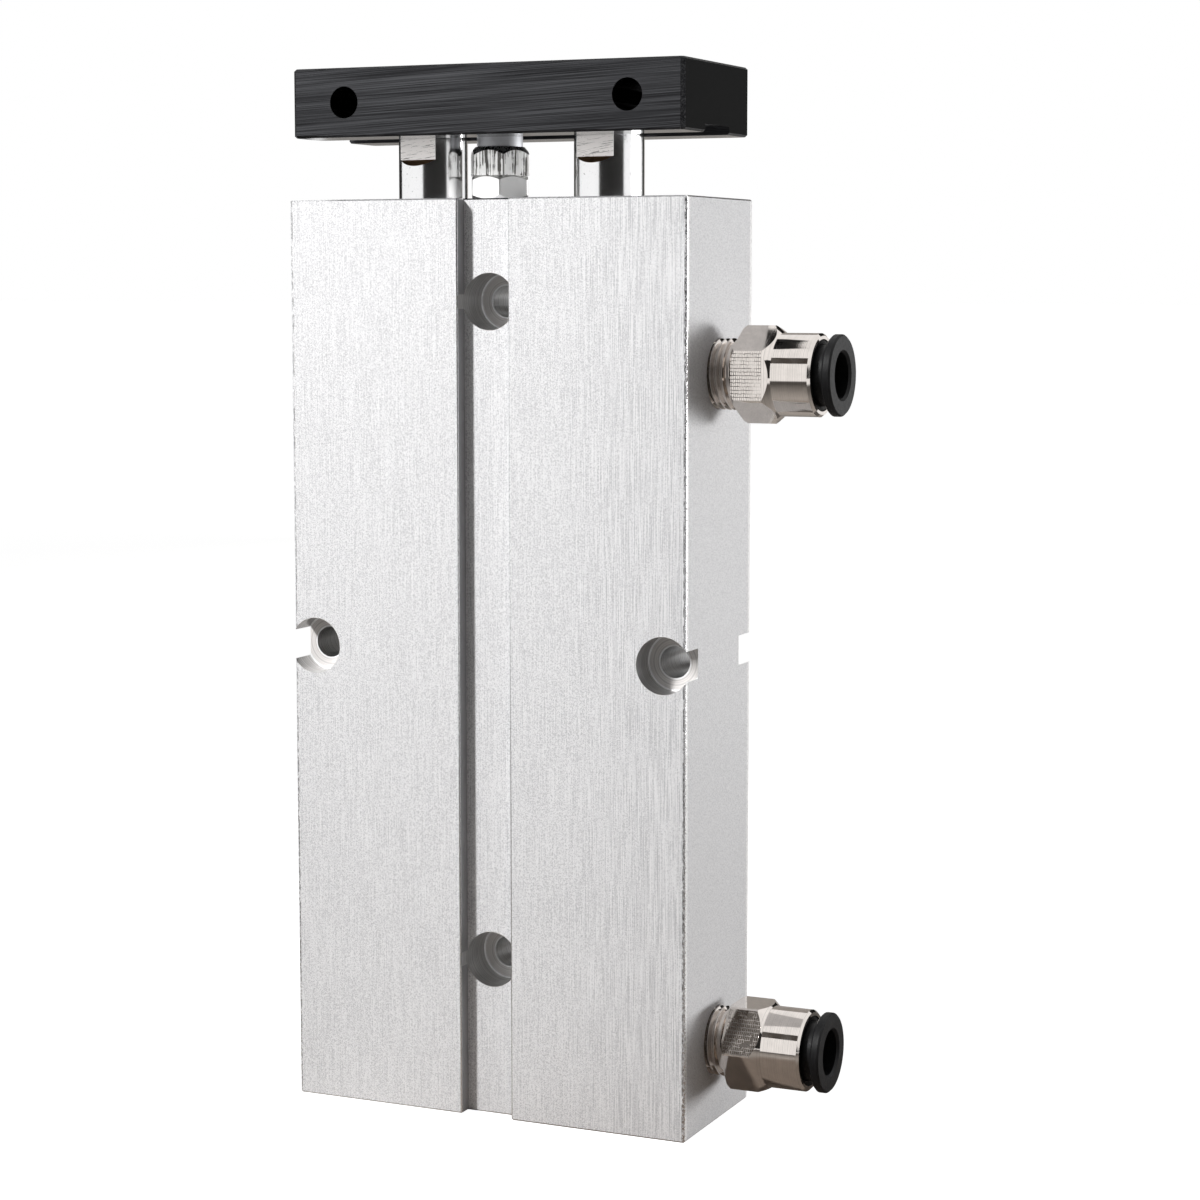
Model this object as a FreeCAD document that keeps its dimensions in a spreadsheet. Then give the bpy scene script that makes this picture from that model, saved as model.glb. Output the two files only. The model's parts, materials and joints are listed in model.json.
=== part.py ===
import FreeCAD, Part
import os
import re
import Sketcher

# Compact double-rod pneumatic cylinder, standing on its rear end with both rods up and fully in.
# Millimetres. The origin is the middle of the rear end face, +Z runs along the rods,
# +X points to the side with the ports and -Y is the front face.

SHEET = "Size"
SIZES = (
    ("stroke", 75.0, "travel of the rods"),
    ("bore_dia", 20.0, "cylinder bore"),
    ("bore_pitch", 28.0, "distance between the two bores"),
    ("body_width", 62.0, "barrel, across both bores"),
    ("body_depth", 24.5, "barrel, front to back"),
    ("body_edge", 0.35, "rounding of the barrel's long edges"),
    ("end_edge", 0.2, "chamfer around the barrel's ends"),
    ("slot_width", 7.9, "mounting slot along the front and back"),
    ("slot_depth", 2.1, "depth of the mounting slot"),
    ("slot_edge", 0.25, "rounding of the slot's lips"),
    ("seat_step", 0.3, "radial step from the bore to the seats of the covers"),
    ("clip_inset", 1.7, "end face to the groove of a retaining ring"),
    ("clip_slot", 1.1, "width of the groove of a retaining ring"),
    ("clip_bite", 0.5, "depth of that groove"),
    ("clip_width", 1.9, "radial width of a retaining ring"),
    ("clip_opening", 4.4, "opening of a retaining ring"),
    ("clip_lug", 3.6, "diameter of a retaining ring's lugs"),
    ("clip_eye", 1.4, "plier hole in a lug"),
    ("hole_dia", 4.5, "mounting hole"),
    ("head_dia", 8.1, "counterbore of a mounting hole"),
    ("slot_head_depth", 5.7, "counterbore below the slot's floor"),
    ("front_hole_inset", 14.45, "front slot hole from the rod end"),
    ("rear_hole_inset", 22.85, "rear slot hole from the rear end"),
    ("edge_hole_inset", 3.45, "edge holes from the narrow sides"),
    ("edge_hole_height", 67.5, "edge holes from the rear end"),
    ("edge_head_depth", 4.5, "counterbore of the edge holes"),
    ("port_dia", 10.0, "port thread at the side face"),
    ("port_depth", 6.3, "depth of the port thread"),
    ("port_setback", 3.2, "port axis from the seat of the nearest cover"),
    ("passage_dia", 4.0, "cross drilling that feeds both bores"),
    ("rear_cover_thick", 5.9, "rear cover"),
    ("rear_bumper_dia", 10.0, "rear bumper"),
    ("rear_bumper_thick", 2.0, "rear bumper"),
    ("rear_bumper_proud", 0.5, "rear bumper above its cover"),
    ("rod_standoff", 0.5, "rod tip to rear bumper when the stop screw is home"),
    ("cord_dia", 1.5, "section of the cover O-rings"),
    ("cord_slot", 2.0, "width of the O-ring grooves"),
    ("rod_dia", 10.0, "piston rod"),
    ("tail_dia", 6.0, "threaded tail of the rod"),
    ("tail_show", 0.3, "tail beyond its nut"),
    ("tail_bevel", 0.5, "chamfer of the tail"),
    ("piston_nut_across", 10.0, "piston nut across flats"),
    ("piston_nut_corner", 11.3, "piston nut across corners"),
    ("piston_nut_face", 9.7, "face inside the piston nut's corner chamfers"),
    ("piston_nut_bevel", 0.4, "height of the piston nut's corner chamfers"),
    ("piston_nut_thick", 4.0, "piston nut"),
    ("clamp_dia", 17.0, "washer that clamps the magnet"),
    ("clamp_thick", 1.0, "washer that clamps the magnet"),
    ("magnet_dia", 18.0, "ring magnet"),
    ("magnet_thick", 4.0, "ring magnet"),
    ("hub_dia", 12.0, "piston hub inside the magnet"),
    ("piston_length", 9.0, "guided length of the piston"),
    ("seal_width", 3.2, "piston seal along the bore"),
    ("seal_depth", 2.6, "depth of the piston seal's groove"),
    ("seal_lip", 0.4, "hollow between the two lips of a seal"),
    ("front_bumper_dia", 14.4, "bumper on the piston"),
    ("front_bumper_thick", 1.6, "bumper on the piston"),
    ("extend_gap", 0.1, "bumper to rod cover at full stroke"),
    ("nose_dia", 15.0, "inner nose of the rod cover"),
    ("nose_length", 6.0, "inner nose of the rod cover"),
    ("nose_lip", 1.0, "lip that stops the guide bush"),
    ("cover_length", 17.5, "rod cover in its seat"),
    ("cover_cord_inset", 4.0, "O-ring groove from the rod cover's shoulder"),
    ("bush_length", 12.0, "guide bush"),
    ("bush_wall", 1.0, "guide bush"),
    ("rod_seal_dia", 16.0, "rod seal"),
    ("rod_seal_length", 4.0, "rod seal"),
    ("retainer_thick", 1.0, "washer that keeps the rod seal in"),
    ("plate_width", 60.8, "end plate, across both rods"),
    ("plate_depth", 24.2, "end plate, front to back"),
    ("plate_thick", 9.8, "end plate"),
    ("plate_edge", 0.3, "chamfer around the end plate's faces"),
    ("plate_corner", 0.55, "chamfer of the end plate's upright corners"),
    ("plate_lift", 8.8, "barrel to end plate with the rods in"),
    ("plate_slot_width", 9.0, "slot under the plate for the rods' flats"),
    ("plate_slot_depth", 1.1, "slot under the plate for the rods' flats"),
    ("plate_hole_dia", 4.5, "cross holes of the plate"),
    ("plate_hole_pitch", 44.0, "distance between the cross holes"),
    ("flat_across", 8.0, "wrench flats of the rods"),
    ("flat_show", 3.0, "wrench flats below the plate"),
    ("flat_ramp", 0.9, "sloped end of the wrench flats"),
    ("flat_turn", 6.0, "turn of the wrench flats from the front, degrees"),
    ("screw_dia", 6.0, "plate screw thread"),
    ("screw_bite", 10.0, "plate screw in the rod"),
    ("screw_spare", 2.0, "free thread below the plate screw"),
    ("screw_head_dia", 10.0, "plate screw head"),
    ("screw_head_thick", 6.0, "plate screw head"),
    ("screw_head_sink", 0.3, "plate screw head below the plate's top"),
    ("screw_socket", 5.0, "plate screw socket across flats"),
    ("screw_socket_depth", 3.0, "plate screw socket"),
    ("stop_offset", 3.2, "stop screw from the middle, away from the ports"),
    ("stop_dia", 6.6, "stop screw thread"),
    ("stop_across", 8.0, "stop screw head and lock nut across flats"),
    ("stop_corner", 9.1, "the same across corners"),
    ("stop_bevel", 0.6, "height of the head's corner chamfers"),
    ("stop_bevel_dia", 7.6, "face inside the head's corner chamfers"),
    ("stop_head_thick", 3.4, "stop screw head"),
    ("stop_gap", 0.05, "stop screw head above the barrel"),
    ("stop_sink", 1.6, "stop screw end below the plate's top"),
    ("stop_end_bevel", 0.6, "chamfer of the stop screw's end"),
    ("head_turn", -5.0, "turn of the stop screw head, degrees"),
    ("lock_nut_thick", 4.1, "lock nut"),
    ("nut_bevel", 1.15, "height of the lock nut's corner chamfers"),
    ("nut_bevel_dia", 7.1, "face inside the lock nut's corner chamfers"),
    ("nut_turn", 2.0, "turn of the lock nut, degrees"),
    ("upper_fit_show", 3.9, "upper fitting's hexagon from the side face"),
    ("lower_fit_show", 3.1, "lower fitting's hexagon from the side face"),
    ("upper_fit_turn", 1.5, "turn of the upper hexagon, degrees"),
    ("lower_fit_turn", 30.0, "turn of the lower hexagon, degrees"),
    ("thread_length", 8.7, "taper thread of a fitting"),
    ("thread_taper", 0.03125, "taper thread, radius per length"),
    ("fit_neck", 0.7, "plain neck between thread and hexagon"),
    ("fit_neck_dia", 8.8, "plain neck between thread and hexagon"),
    ("fit_across", 12.0, "fitting hexagon across flats"),
    ("fit_corner", 13.65, "fitting hexagon across corners"),
    ("fit_hex_length", 4.5, "fitting hexagon"),
    ("fit_cone", 1.2, "cone from the hexagon to the round socket"),
    ("fit_round_dia", 11.6, "round socket of a fitting"),
    ("fit_round_length", 5.7, "round socket of a fitting"),
    ("fit_lip", 0.35, "chamfered lip of the round socket"),
    ("fit_passage", 4.0, "air passage of a fitting"),
    ("tube_dia", 6.0, "air tube"),
    ("tube_stop_depth", 3.8, "tube guide behind the seal pocket"),
    ("tube_seal_start", 2.1, "seal pocket from the hexagon's inner end"),
    ("tube_seal_dia", 9.2, "seal pocket"),
    ("grab_seat", 5.0, "shoulder of the grab ring from the hexagon's inner end"),
    ("grab_thick", 0.3, "grab ring"),
    ("grab_rim", 0.85, "flat rim of the grab ring"),
    ("grab_lean", 0.8, "lean of the grab ring's teeth along the tube"),
    ("grab_slit", 0.7, "slits between the teeth"),
    ("grab_teeth", 8, "teeth of the grab ring"),
    ("socket_bore", 10.0, "bore of the round socket"),
    ("guide_recess", 3.5, "wide inner part of the guide bush"),
    ("guide_wall", 0.63, "wall of the guide bush at its mouth"),
    ("guide_sink", 0.2, "guide bush below the socket's mouth"),
    ("sleeve_bore", 6.4, "bore of the release sleeve"),
    ("sleeve_nose_dia", 7.5, "inner nose of the release sleeve"),
    ("sleeve_nose", 1.0, "inner nose of the release sleeve"),
    ("sleeve_start", 1.0, "release sleeve from the grab ring at rest"),
    ("sleeve_bead", 0.3, "bead that keeps the release sleeve in"),
    ("sleeve_bead_length", 0.8, "bead that keeps the release sleeve in"),
    ("sleeve_gap", 1.6, "flange of the release sleeve from the socket"),
    ("flange_dia", 11.35, "flange of the release sleeve"),
    ("flange_thick", 1.3, "flange of the release sleeve"),
    ("flange_edge", 0.25, "rounding of the flange"),
    ("mouth_bevel", 0.35, "chamfer at the tube's way in"),
    ("seat_gap", 0.02, "radial gap of pieces seated in one another"),
    ("run_gap", 0.05, "radial gap of pieces that slide"),
    ("piston_gap", 0.1, "radial gap of the piston in its bore"),
    ("rod_gap", 0.03, "radial gap of bush and seal on the rod"),
    ("wide_gap", 0.25, "radial gap where the rod passes freely"),
)
NAMES = {name for name, value, note in SIZES}

# Heights above the rear face, each standing on the one before.
REAR_SEAT = "clip_inset + clip_slot + rear_cover_thick"
ROD_TIP = f"{REAR_SEAT} + rear_bumper_proud + rod_standoff"
NUT_BASE = f"{ROD_TIP} + tail_show"
CLAMP_BASE = f"{NUT_BASE} + piston_nut_thick"
HUB_BASE = f"{CLAMP_BASE} + clamp_thick"
ROD_SHOULDER = f"{HUB_BASE} + magnet_thick + piston_length"
NOSE_TIP = f"{ROD_SHOULDER} + front_bumper_thick + stroke + extend_gap"
FRONT_SEAT = f"{NOSE_TIP} + nose_length"
RETAINER_BASE = f"{FRONT_SEAT} + cover_length"
FRONT_CLIP = f"{RETAINER_BASE} + retainer_thick"
BODY_LENGTH = f"{FRONT_CLIP} + clip_slot + clip_inset"
PLATE_BASE = f"{BODY_LENGTH} + plate_lift"
REAR_PORT = f"{REAR_SEAT} + port_setback"
FRONT_PORT = f"{FRONT_SEAT} - port_setback"
STOP_BASE = f"{BODY_LENGTH} + stop_gap"

# Radii that more than one piece shares.
BORE = "bore_dia / 2"
SEAT = f"{BORE} + seat_step"
CLIP = f"{SEAT} + clip_bite"
COVER = f"{SEAT} - run_gap"
ROD = "rod_dia / 2"
BUSH_SEAT = f"{ROD} + rod_gap + bush_wall"
TUBE = "tube_dia / 2 + run_gap"
GUIDE_MOUTH = "socket_bore / 2 - seat_gap - guide_wall"
SLEEVE = f"{GUIDE_MOUTH} - run_gap"

# Inner end of a release sleeve at rest, from the inner end of its fitting's hexagon.
SLEEVE_REST = "grab_seat + grab_thick + sleeve_start"

SIDES = {"left": "-bore_pitch / 2", "right": "bore_pitch / 2"}
ALONG_X = FreeCAD.Rotation(FreeCAD.Vector(0, 1, 0), 90)
SAME_POINT = 1e-6

doc = FreeCAD.newDocument("double_rod_cylinder")
sheet = doc.addObject("Spreadsheet::Sheet", SHEET)
for row, (name, value, note) in enumerate(SIZES, 1):
    sheet.set(f"A{row}", note)
    sheet.set(f"B{row}", str(value))
    sheet.setAlias(f"B{row}", name)
doc.recompute()
pieces = []


def bound(text):
    """The formula with each size read from the sheet."""
    return re.sub(r"[a-z_]+", lambda word: f"{SHEET}.{word[0]}" if word[0] in NAMES else word[0], text)


def number(text):
    return float(sheet.evalExpression(bound(text)))


def minus(text):
    return f"-({text})"


def place(piece, x="0", y="0", z="0", rotation=FreeCAD.Rotation()):
    piece.Placement = FreeCAD.Placement(FreeCAD.Vector(), rotation)
    for axis, text in zip("xyz", (x, y, z)):
        piece.setExpression(f"Placement.Base.{axis}", bound(text))


def keep(piece, label):
    piece.Label = label
    pieces.append(piece)


def new_sketch(body, role, lift="0", turn="0"):
    """A sketch on one of the body's own planes, lifted along that plane's normal and turned in it."""
    sketch = body.newObject("Sketcher::SketchObject", "Sketch")
    plane = next(item for item in body.Origin.OriginFeatures if item.Role == role)
    sketch.AttachmentSupport = (plane, [""])
    sketch.MapMode = "FlatFace"
    sketch.setExpression("AttachmentOffset.Base.z", bound(lift))
    sketch.setExpression("AttachmentOffset.Rotation.Angle", bound(turn))
    return sketch


def pin_point(sketch, geometry, vertex, point):
    for kind, text in zip(("DistanceX", "DistanceY"), point):
        limit = Sketcher.Constraint(kind, -1, 1, geometry, vertex, number(text))
        index = sketch.addConstraint(limit)
        sketch.setExpression(f"Constraints[{index}]", bound(text))


def add_polygon(sketch, points):
    corners = [FreeCAD.Vector(number(x), number(y), 0) for x, y in points]
    ends = corners[1:] + corners[:1]
    sides = sketch.addGeometry([Part.LineSegment(a, b) for a, b in zip(corners, ends)])
    for side, following in zip(sides, sides[1:] + sides[:1]):
        sketch.addConstraint(Sketcher.Constraint("Coincident", side, 2, following, 1))
    for side, point in zip(sides, points):
        pin_point(sketch, side, 1, point)


def add_rectangle(sketch, x0, y0, x1, y1):
    add_polygon(sketch, [(x0, y0), (x1, y0), (x1, y1), (x0, y1)])


def add_circle(sketch, x, y, diameter):
    centre = FreeCAD.Vector(number(x), number(y), 0)
    circle = sketch.addGeometry(Part.Circle(centre, FreeCAD.Vector(0, 0, 1), number(diameter) / 2))
    pin_point(sketch, circle, 3, (x, y))
    index = sketch.addConstraint(Sketcher.Constraint("Diameter", circle, number(diameter)))
    sketch.setExpression(f"Constraints[{index}]", bound(diameter))


def add_axis(sketch, start, end):
    ends = [FreeCAD.Vector(number(x), number(y), 0) for x, y in (start, end)]
    axis = sketch.addGeometry(Part.LineSegment(*ends), True)
    pin_point(sketch, axis, 1, start)
    pin_point(sketch, axis, 2, end)


def add_hexagon(sketch, across):
    corner = f"({across}) / sqrt(3)"
    half = f"({across}) / 2"
    right = [(f"{corner} / 2", minus(half)), (corner, "0"), (f"{corner} / 2", half)]
    left = [(minus(x), minus(y)) for x, y in right]
    add_polygon(sketch, right + left)


def add_feature(body, kind, sketch):
    feature = body.newObject(f"PartDesign::{kind}", kind)
    feature.Profile = sketch
    return feature


def pad(body, sketch, length):
    feature = add_feature(body, "Pad", sketch)
    feature.setExpression("Length", bound(length))
    doc.recompute()
    return feature


def check_cut(body, feature, before):
    doc.recompute()
    if body.Shape.Volume >= before:
        raise RuntimeError(f"{feature.Name} removes nothing from {body.Name}")
    return feature


def pocket(body, sketch, depth, upward=False):
    before = body.Shape.Volume
    feature = add_feature(body, "Pocket", sketch)
    feature.setExpression("Length", bound(depth))
    feature.Reversed = upward
    return check_cut(body, feature, before)


def pocket_through(body, sketch):
    before = body.Shape.Volume
    feature = add_feature(body, "Pocket", sketch)
    feature.Type = "ThroughAll"
    feature.SideType = "Symmetric"
    return check_cut(body, feature, before)


def groove(body, sketch):
    before = body.Shape.Volume
    feature = add_feature(body, "Groove", sketch)
    feature.ReferenceAxis = (sketch, ["Axis0"])
    feature.Angle = 360
    return check_cut(body, feature, before)


def mirror(body, features, role):
    before = body.Shape.Volume
    copy = body.newObject("PartDesign::Mirrored", "Mirrored")
    copy.Originals = features
    copy.MirrorPlane = (next(item for item in body.Origin.OriginFeatures if item.Role == role), [""])
    body.Tip = copy
    return check_cut(body, copy, before)


def level_edge(edge):
    return edge.BoundBox.ZLength < SAME_POINT


def upright_edge(edge):
    return not level_edge(edge)


def upright_at(x, y):
    """A test for upright edges at these distances from the two middle planes."""
    corner = FreeCAD.Vector(number(x), number(y), 0)

    def test(edge):
        middle = edge.BoundBox.Center
        return FreeCAD.Vector(abs(middle.x), abs(middle.y), 0).isEqual(corner, SAME_POINT)

    return test


def dress(body, kind, size_name, size, test):
    """Rounds or chamfers the edges that pass the test."""
    base = body.Tip
    names = [f"Edge{index}" for index, edge in enumerate(base.Shape.Edges, 1) if test(edge)]
    feature = body.newObject(f"PartDesign::{kind}", kind)
    feature.Base = (base, names)
    feature.setExpression(size_name, bound(size))
    doc.recompute()


def new_body(label):
    body = doc.addObject("PartDesign::Body", label)
    keep(body, label)
    return body


def turned(label, profile):
    """A body turned about its own Z from (radius, height) points."""
    body = new_body(label)
    sketch = new_sketch(body, "XZ_Plane")
    add_polygon(sketch, profile)
    feature = add_feature(body, "Revolution", sketch)
    feature.ReferenceAxis = (sketch, ["V_Axis"])
    feature.Angle = 360
    doc.recompute()
    return body


def turned_ring(label, inner, outer, height):
    return turned(label, [(inner, "0"), (outer, "0"), (outer, height), (inner, height)])


def cut_hexagon(body, across, length, turn):
    """Mills six flats on a turned body, from its base plane up."""
    sketch = new_sketch(body, "XY_Plane", "0", turn)
    add_circle(sketch, "0", "0", f"2 * ({across})")
    add_hexagon(sketch, across)
    pocket(body, sketch, length, upward=True)


def cord_ring(label, outer, x, z):
    """A round-section ring under a wall of the given radius."""
    ring = doc.addObject("Part::Torus", label)
    ring.setExpression("Radius1", bound(f"{outer} - cord_dia / 2"))
    ring.setExpression("Radius2", bound("cord_dia / 2 - seat_gap"))
    place(ring, x, "0", z)
    keep(ring, label)


def pair(label, single):
    """One node from a piece at the right bore and its mirror image at the left one."""
    pieces.remove(single)
    single.Label = f"{label}_right"
    other = doc.addObject("Part::Mirroring", f"{label}_left")
    other.Source = single
    other.Normal = FreeCAD.Vector(1, 0, 0)
    group = doc.addObject("Part::Compound", label)
    group.Links = [single, other]
    keep(group, label)


def make_barrel():
    body = new_body("barrel")
    wide = "body_width / 2"
    deep = "body_depth / 2"
    lip = "slot_width / 2"
    floor = f"{deep} - slot_depth"
    front = [
        (minus(wide), minus(deep)),
        (minus(lip), minus(deep)),
        (minus(lip), minus(floor)),
        (lip, minus(floor)),
        (lip, minus(deep)),
        (wide, minus(deep)),
    ]
    back = [(minus(x), minus(y)) for x, y in front]
    sketch = new_sketch(body, "XY_Plane")
    add_polygon(sketch, front + back)
    pad(body, sketch, BODY_LENGTH)
    dress(body, "Fillet", "Radius", "body_edge", upright_at(wide, deep))
    dress(body, "Fillet", "Radius", "slot_edge", upright_at(lip, deep))
    dress(body, "Chamfer", "Size", "end_edge", level_edge)
    bore_barrel(body)
    drill_mounting_holes(body)
    for height in (REAR_PORT, FRONT_PORT):
        drill_port(body, height)


def bore_barrel(body):
    """Both stepped bores: a seat and a ring groove at each end."""
    centre = "bore_pitch / 2"
    steps = [
        ("0", "0"),
        (SEAT, "0"),
        (SEAT, "clip_inset"),
        (CLIP, "clip_inset"),
        (CLIP, "clip_inset + clip_slot"),
        (SEAT, "clip_inset + clip_slot"),
        (SEAT, REAR_SEAT),
        (BORE, REAR_SEAT),
        (BORE, FRONT_SEAT),
        (SEAT, FRONT_SEAT),
        (SEAT, FRONT_CLIP),
        (CLIP, FRONT_CLIP),
        (CLIP, f"{FRONT_CLIP} + clip_slot"),
        (SEAT, f"{FRONT_CLIP} + clip_slot"),
        (SEAT, BODY_LENGTH),
        ("0", BODY_LENGTH),
    ]
    sketch = new_sketch(body, "XZ_Plane")
    add_polygon(sketch, [(f"{centre} + {radius}", height) for radius, height in steps])
    add_axis(sketch, (centre, "0"), (centre, BODY_LENGTH))
    mirror(body, [groove(body, sketch)], "YZ_Plane")


def drill_mounting_holes(body):
    edge = "body_width / 2 - edge_hole_inset"
    in_slot = [("0", f"{BODY_LENGTH} - front_hole_inset"), ("0", "rear_hole_inset")]
    at_edge = [(edge, "edge_hole_height"), (minus(edge), "edge_hole_height")]
    sketch = new_sketch(body, "XZ_Plane")
    for x, z in in_slot + at_edge:
        add_circle(sketch, x, z, "hole_dia")
    pocket_through(body, sketch)
    heads = []
    for holes, depth in ((in_slot, "slot_depth + slot_head_depth"), (at_edge, "edge_head_depth")):
        sketch = new_sketch(body, "XZ_Plane", "body_depth / 2")
        for x, z in holes:
            add_circle(sketch, x, z, "head_dia")
        heads.append(pocket(body, sketch, depth))
    mirror(body, heads, "XZ_Plane")


def drill_port(body, height):
    """A port in the +X side, drilled on through the right bore into the left one."""
    face = "body_width / 2"
    floor = f"{face} - port_depth"
    far = minus("bore_pitch / 2")
    sketch = new_sketch(body, "XZ_Plane")
    add_polygon(sketch, [
        (far, height),
        (face, height),
        (face, f"{height} + port_dia / 2"),
        (floor, f"{height} + port_dia / 2"),
        (floor, f"{height} + passage_dia / 2"),
        (far, f"{height} + passage_dia / 2"),
    ])
    add_axis(sketch, (far, height), (face, height))
    groove(body, sketch)


def make_rear_end(side, x):
    recess = "rear_bumper_thick - rear_bumper_proud"
    low = "rear_cover_thick / 2 - cord_slot / 2"
    high = "rear_cover_thick / 2 + cord_slot / 2"
    bottom = f"{SEAT} - cord_dia"
    pad_edge = "rear_bumper_dia / 2 + seat_gap"
    cover = turned(f"rear_cover_{side}", [
        ("0", "0"),
        (COVER, "0"),
        (COVER, low),
        (bottom, low),
        (bottom, high),
        (COVER, high),
        (COVER, "rear_cover_thick"),
        (pad_edge, "rear_cover_thick"),
        (pad_edge, f"rear_cover_thick - ({recess})"),
        ("0", f"rear_cover_thick - ({recess})"),
    ])
    place(cover, x, "0", "clip_inset + clip_slot")
    cord_ring(f"rear_o_ring_{side}", SEAT, x, "clip_inset + clip_slot + rear_cover_thick / 2")
    bumper = turned(f"rear_bumper_{side}", [
        ("0", "0"),
        ("rear_bumper_dia / 2", "0"),
        ("rear_bumper_dia / 2", recess),
        ("rear_bumper_dia / 2 - rear_bumper_proud", "rear_bumper_thick"),
        ("0", "rear_bumper_thick"),
    ])
    place(bumper, x, "0", f"{REAR_SEAT} - ({recess})")


def make_rod(side, x):
    tail = "tail_dia / 2"
    shoulder = f"{ROD_SHOULDER} - ({ROD_TIP})"
    top = f"{PLATE_BASE} + plate_slot_depth - ({ROD_TIP})"
    hole = "screw_dia / 2 + seat_gap"
    floor = f"{top} - screw_bite - screw_spare"
    rod = turned(f"piston_rod_{side}", [
        ("0", "0"),
        (f"{tail} - tail_bevel", "0"),
        (tail, "tail_bevel"),
        (tail, shoulder),
        (ROD, shoulder),
        (ROD, top),
        (hole, top),
        (hole, floor),
        ("0", floor),
    ])
    sketch = new_sketch(rod, "YZ_Plane")
    low = f"{top} - flat_show - plate_slot_depth"
    high = f"{top} + rod_dia"
    for sign in (1, -1):
        flat = f"{sign} * flat_across / 2"
        beyond = f"{sign} * rod_dia"
        add_polygon(sketch, [
            (flat, low),
            (flat, high),
            (beyond, high),
            (beyond, f"{low} - flat_ramp"),
            (f"{sign} * {ROD}", f"{low} - flat_ramp"),
        ])
    pocket_through(rod, sketch)
    place(rod, x, "0", ROD_TIP)
    rod.setExpression("Placement.Rotation.Angle", bound("-flat_turn"))


def make_piston(side, x):
    skirt = f"{BORE} - piston_gap"
    hole = "tail_dia / 2 + seat_gap"
    top = "magnet_thick + piston_length"
    low = "magnet_thick + piston_length / 2 - seal_width / 2"
    high = "magnet_thick + piston_length / 2 + seal_width / 2"
    bottom = f"{skirt} - seal_depth"
    piston = turned(f"piston_{side}", [
        (hole, "0"),
        ("hub_dia / 2", "0"),
        ("hub_dia / 2", "magnet_thick"),
        (skirt, "magnet_thick"),
        (skirt, low),
        (bottom, low),
        (bottom, high),
        (skirt, high),
        (skirt, top),
        (hole, top),
    ])
    place(piston, x, "0", HUB_BASE)
    inner = f"{bottom} + seat_gap"
    outer = f"{BORE} - rod_gap"
    width = "seal_width - 2 * seat_gap"
    seal = turned(f"piston_seal_{side}", [
        (inner, "0"),
        (outer, "0"),
        (outer, f"({width}) / 4"),
        (f"{outer} - seal_lip", f"({width}) / 2"),
        (outer, f"({width}) * 3 / 4"),
        (outer, width),
        (inner, width),
    ])
    place(seal, x, "0", f"{HUB_BASE} + {low} + seat_gap")
    magnet = turned_ring(f"magnet_ring_{side}", "hub_dia / 2 + seat_gap", "magnet_dia / 2", "magnet_thick")
    place(magnet, x, "0", HUB_BASE)
    clamp = turned_ring(f"magnet_clamp_{side}", hole, "clamp_dia / 2", "clamp_thick")
    place(clamp, x, "0", CLAMP_BASE)
    clear = f"{ROD} + run_gap"
    bumper = turned_ring(f"front_bumper_{side}", clear, "front_bumper_dia / 2", "front_bumper_thick")
    place(bumper, x, "0", ROD_SHOULDER)


def make_rod_cover(side, x):
    """The gland: nose with the guide bush inside, seal pocket open to the front, O-ring outside."""
    total = "nose_length + cover_length"
    low = "nose_length + cover_cord_inset"
    bottom = f"{SEAT} - cord_dia"
    pocket_floor = f"{total} - rod_seal_length"
    cover = turned(f"rod_cover_{side}", [
        (f"{ROD} + wide_gap", "0"),
        ("nose_dia / 2", "0"),
        ("nose_dia / 2", "nose_length"),
        (COVER, "nose_length"),
        (COVER, low),
        (bottom, low),
        (bottom, f"{low} + cord_slot"),
        (COVER, f"{low} + cord_slot"),
        (COVER, total),
        ("rod_seal_dia / 2", total),
        ("rod_seal_dia / 2", pocket_floor),
        (BUSH_SEAT, pocket_floor),
        (BUSH_SEAT, "nose_lip"),
        (f"{ROD} + wide_gap", "nose_lip"),
    ])
    place(cover, x, "0", NOSE_TIP)
    cord_ring(f"rod_cover_o_ring_{side}", SEAT, x, f"{NOSE_TIP} + {low} + cord_slot / 2")
    bush = turned_ring(f"guide_bush_{side}", f"{ROD} + rod_gap", f"{BUSH_SEAT} - seat_gap", "bush_length")
    place(bush, x, "0", f"{NOSE_TIP} + nose_lip")
    inner = f"{ROD} + rod_gap"
    outer = "rod_seal_dia / 2 - seat_gap"
    seal = turned(f"rod_seal_{side}", [
        (inner, "0"),
        (outer, "0"),
        (outer, "rod_seal_length"),
        (inner, "rod_seal_length"),
        (inner, "rod_seal_length * 3 / 4"),
        (f"{inner} + seal_lip", "rod_seal_length / 2"),
        (inner, "rod_seal_length / 4"),
    ])
    place(seal, x, "0", f"{NOSE_TIP} + {pocket_floor}")
    retainer = turned_ring(f"seal_retainer_{side}", f"{ROD} + wide_gap", COVER, "retainer_thick")
    place(retainer, x, "0", RETAINER_BASE)


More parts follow.
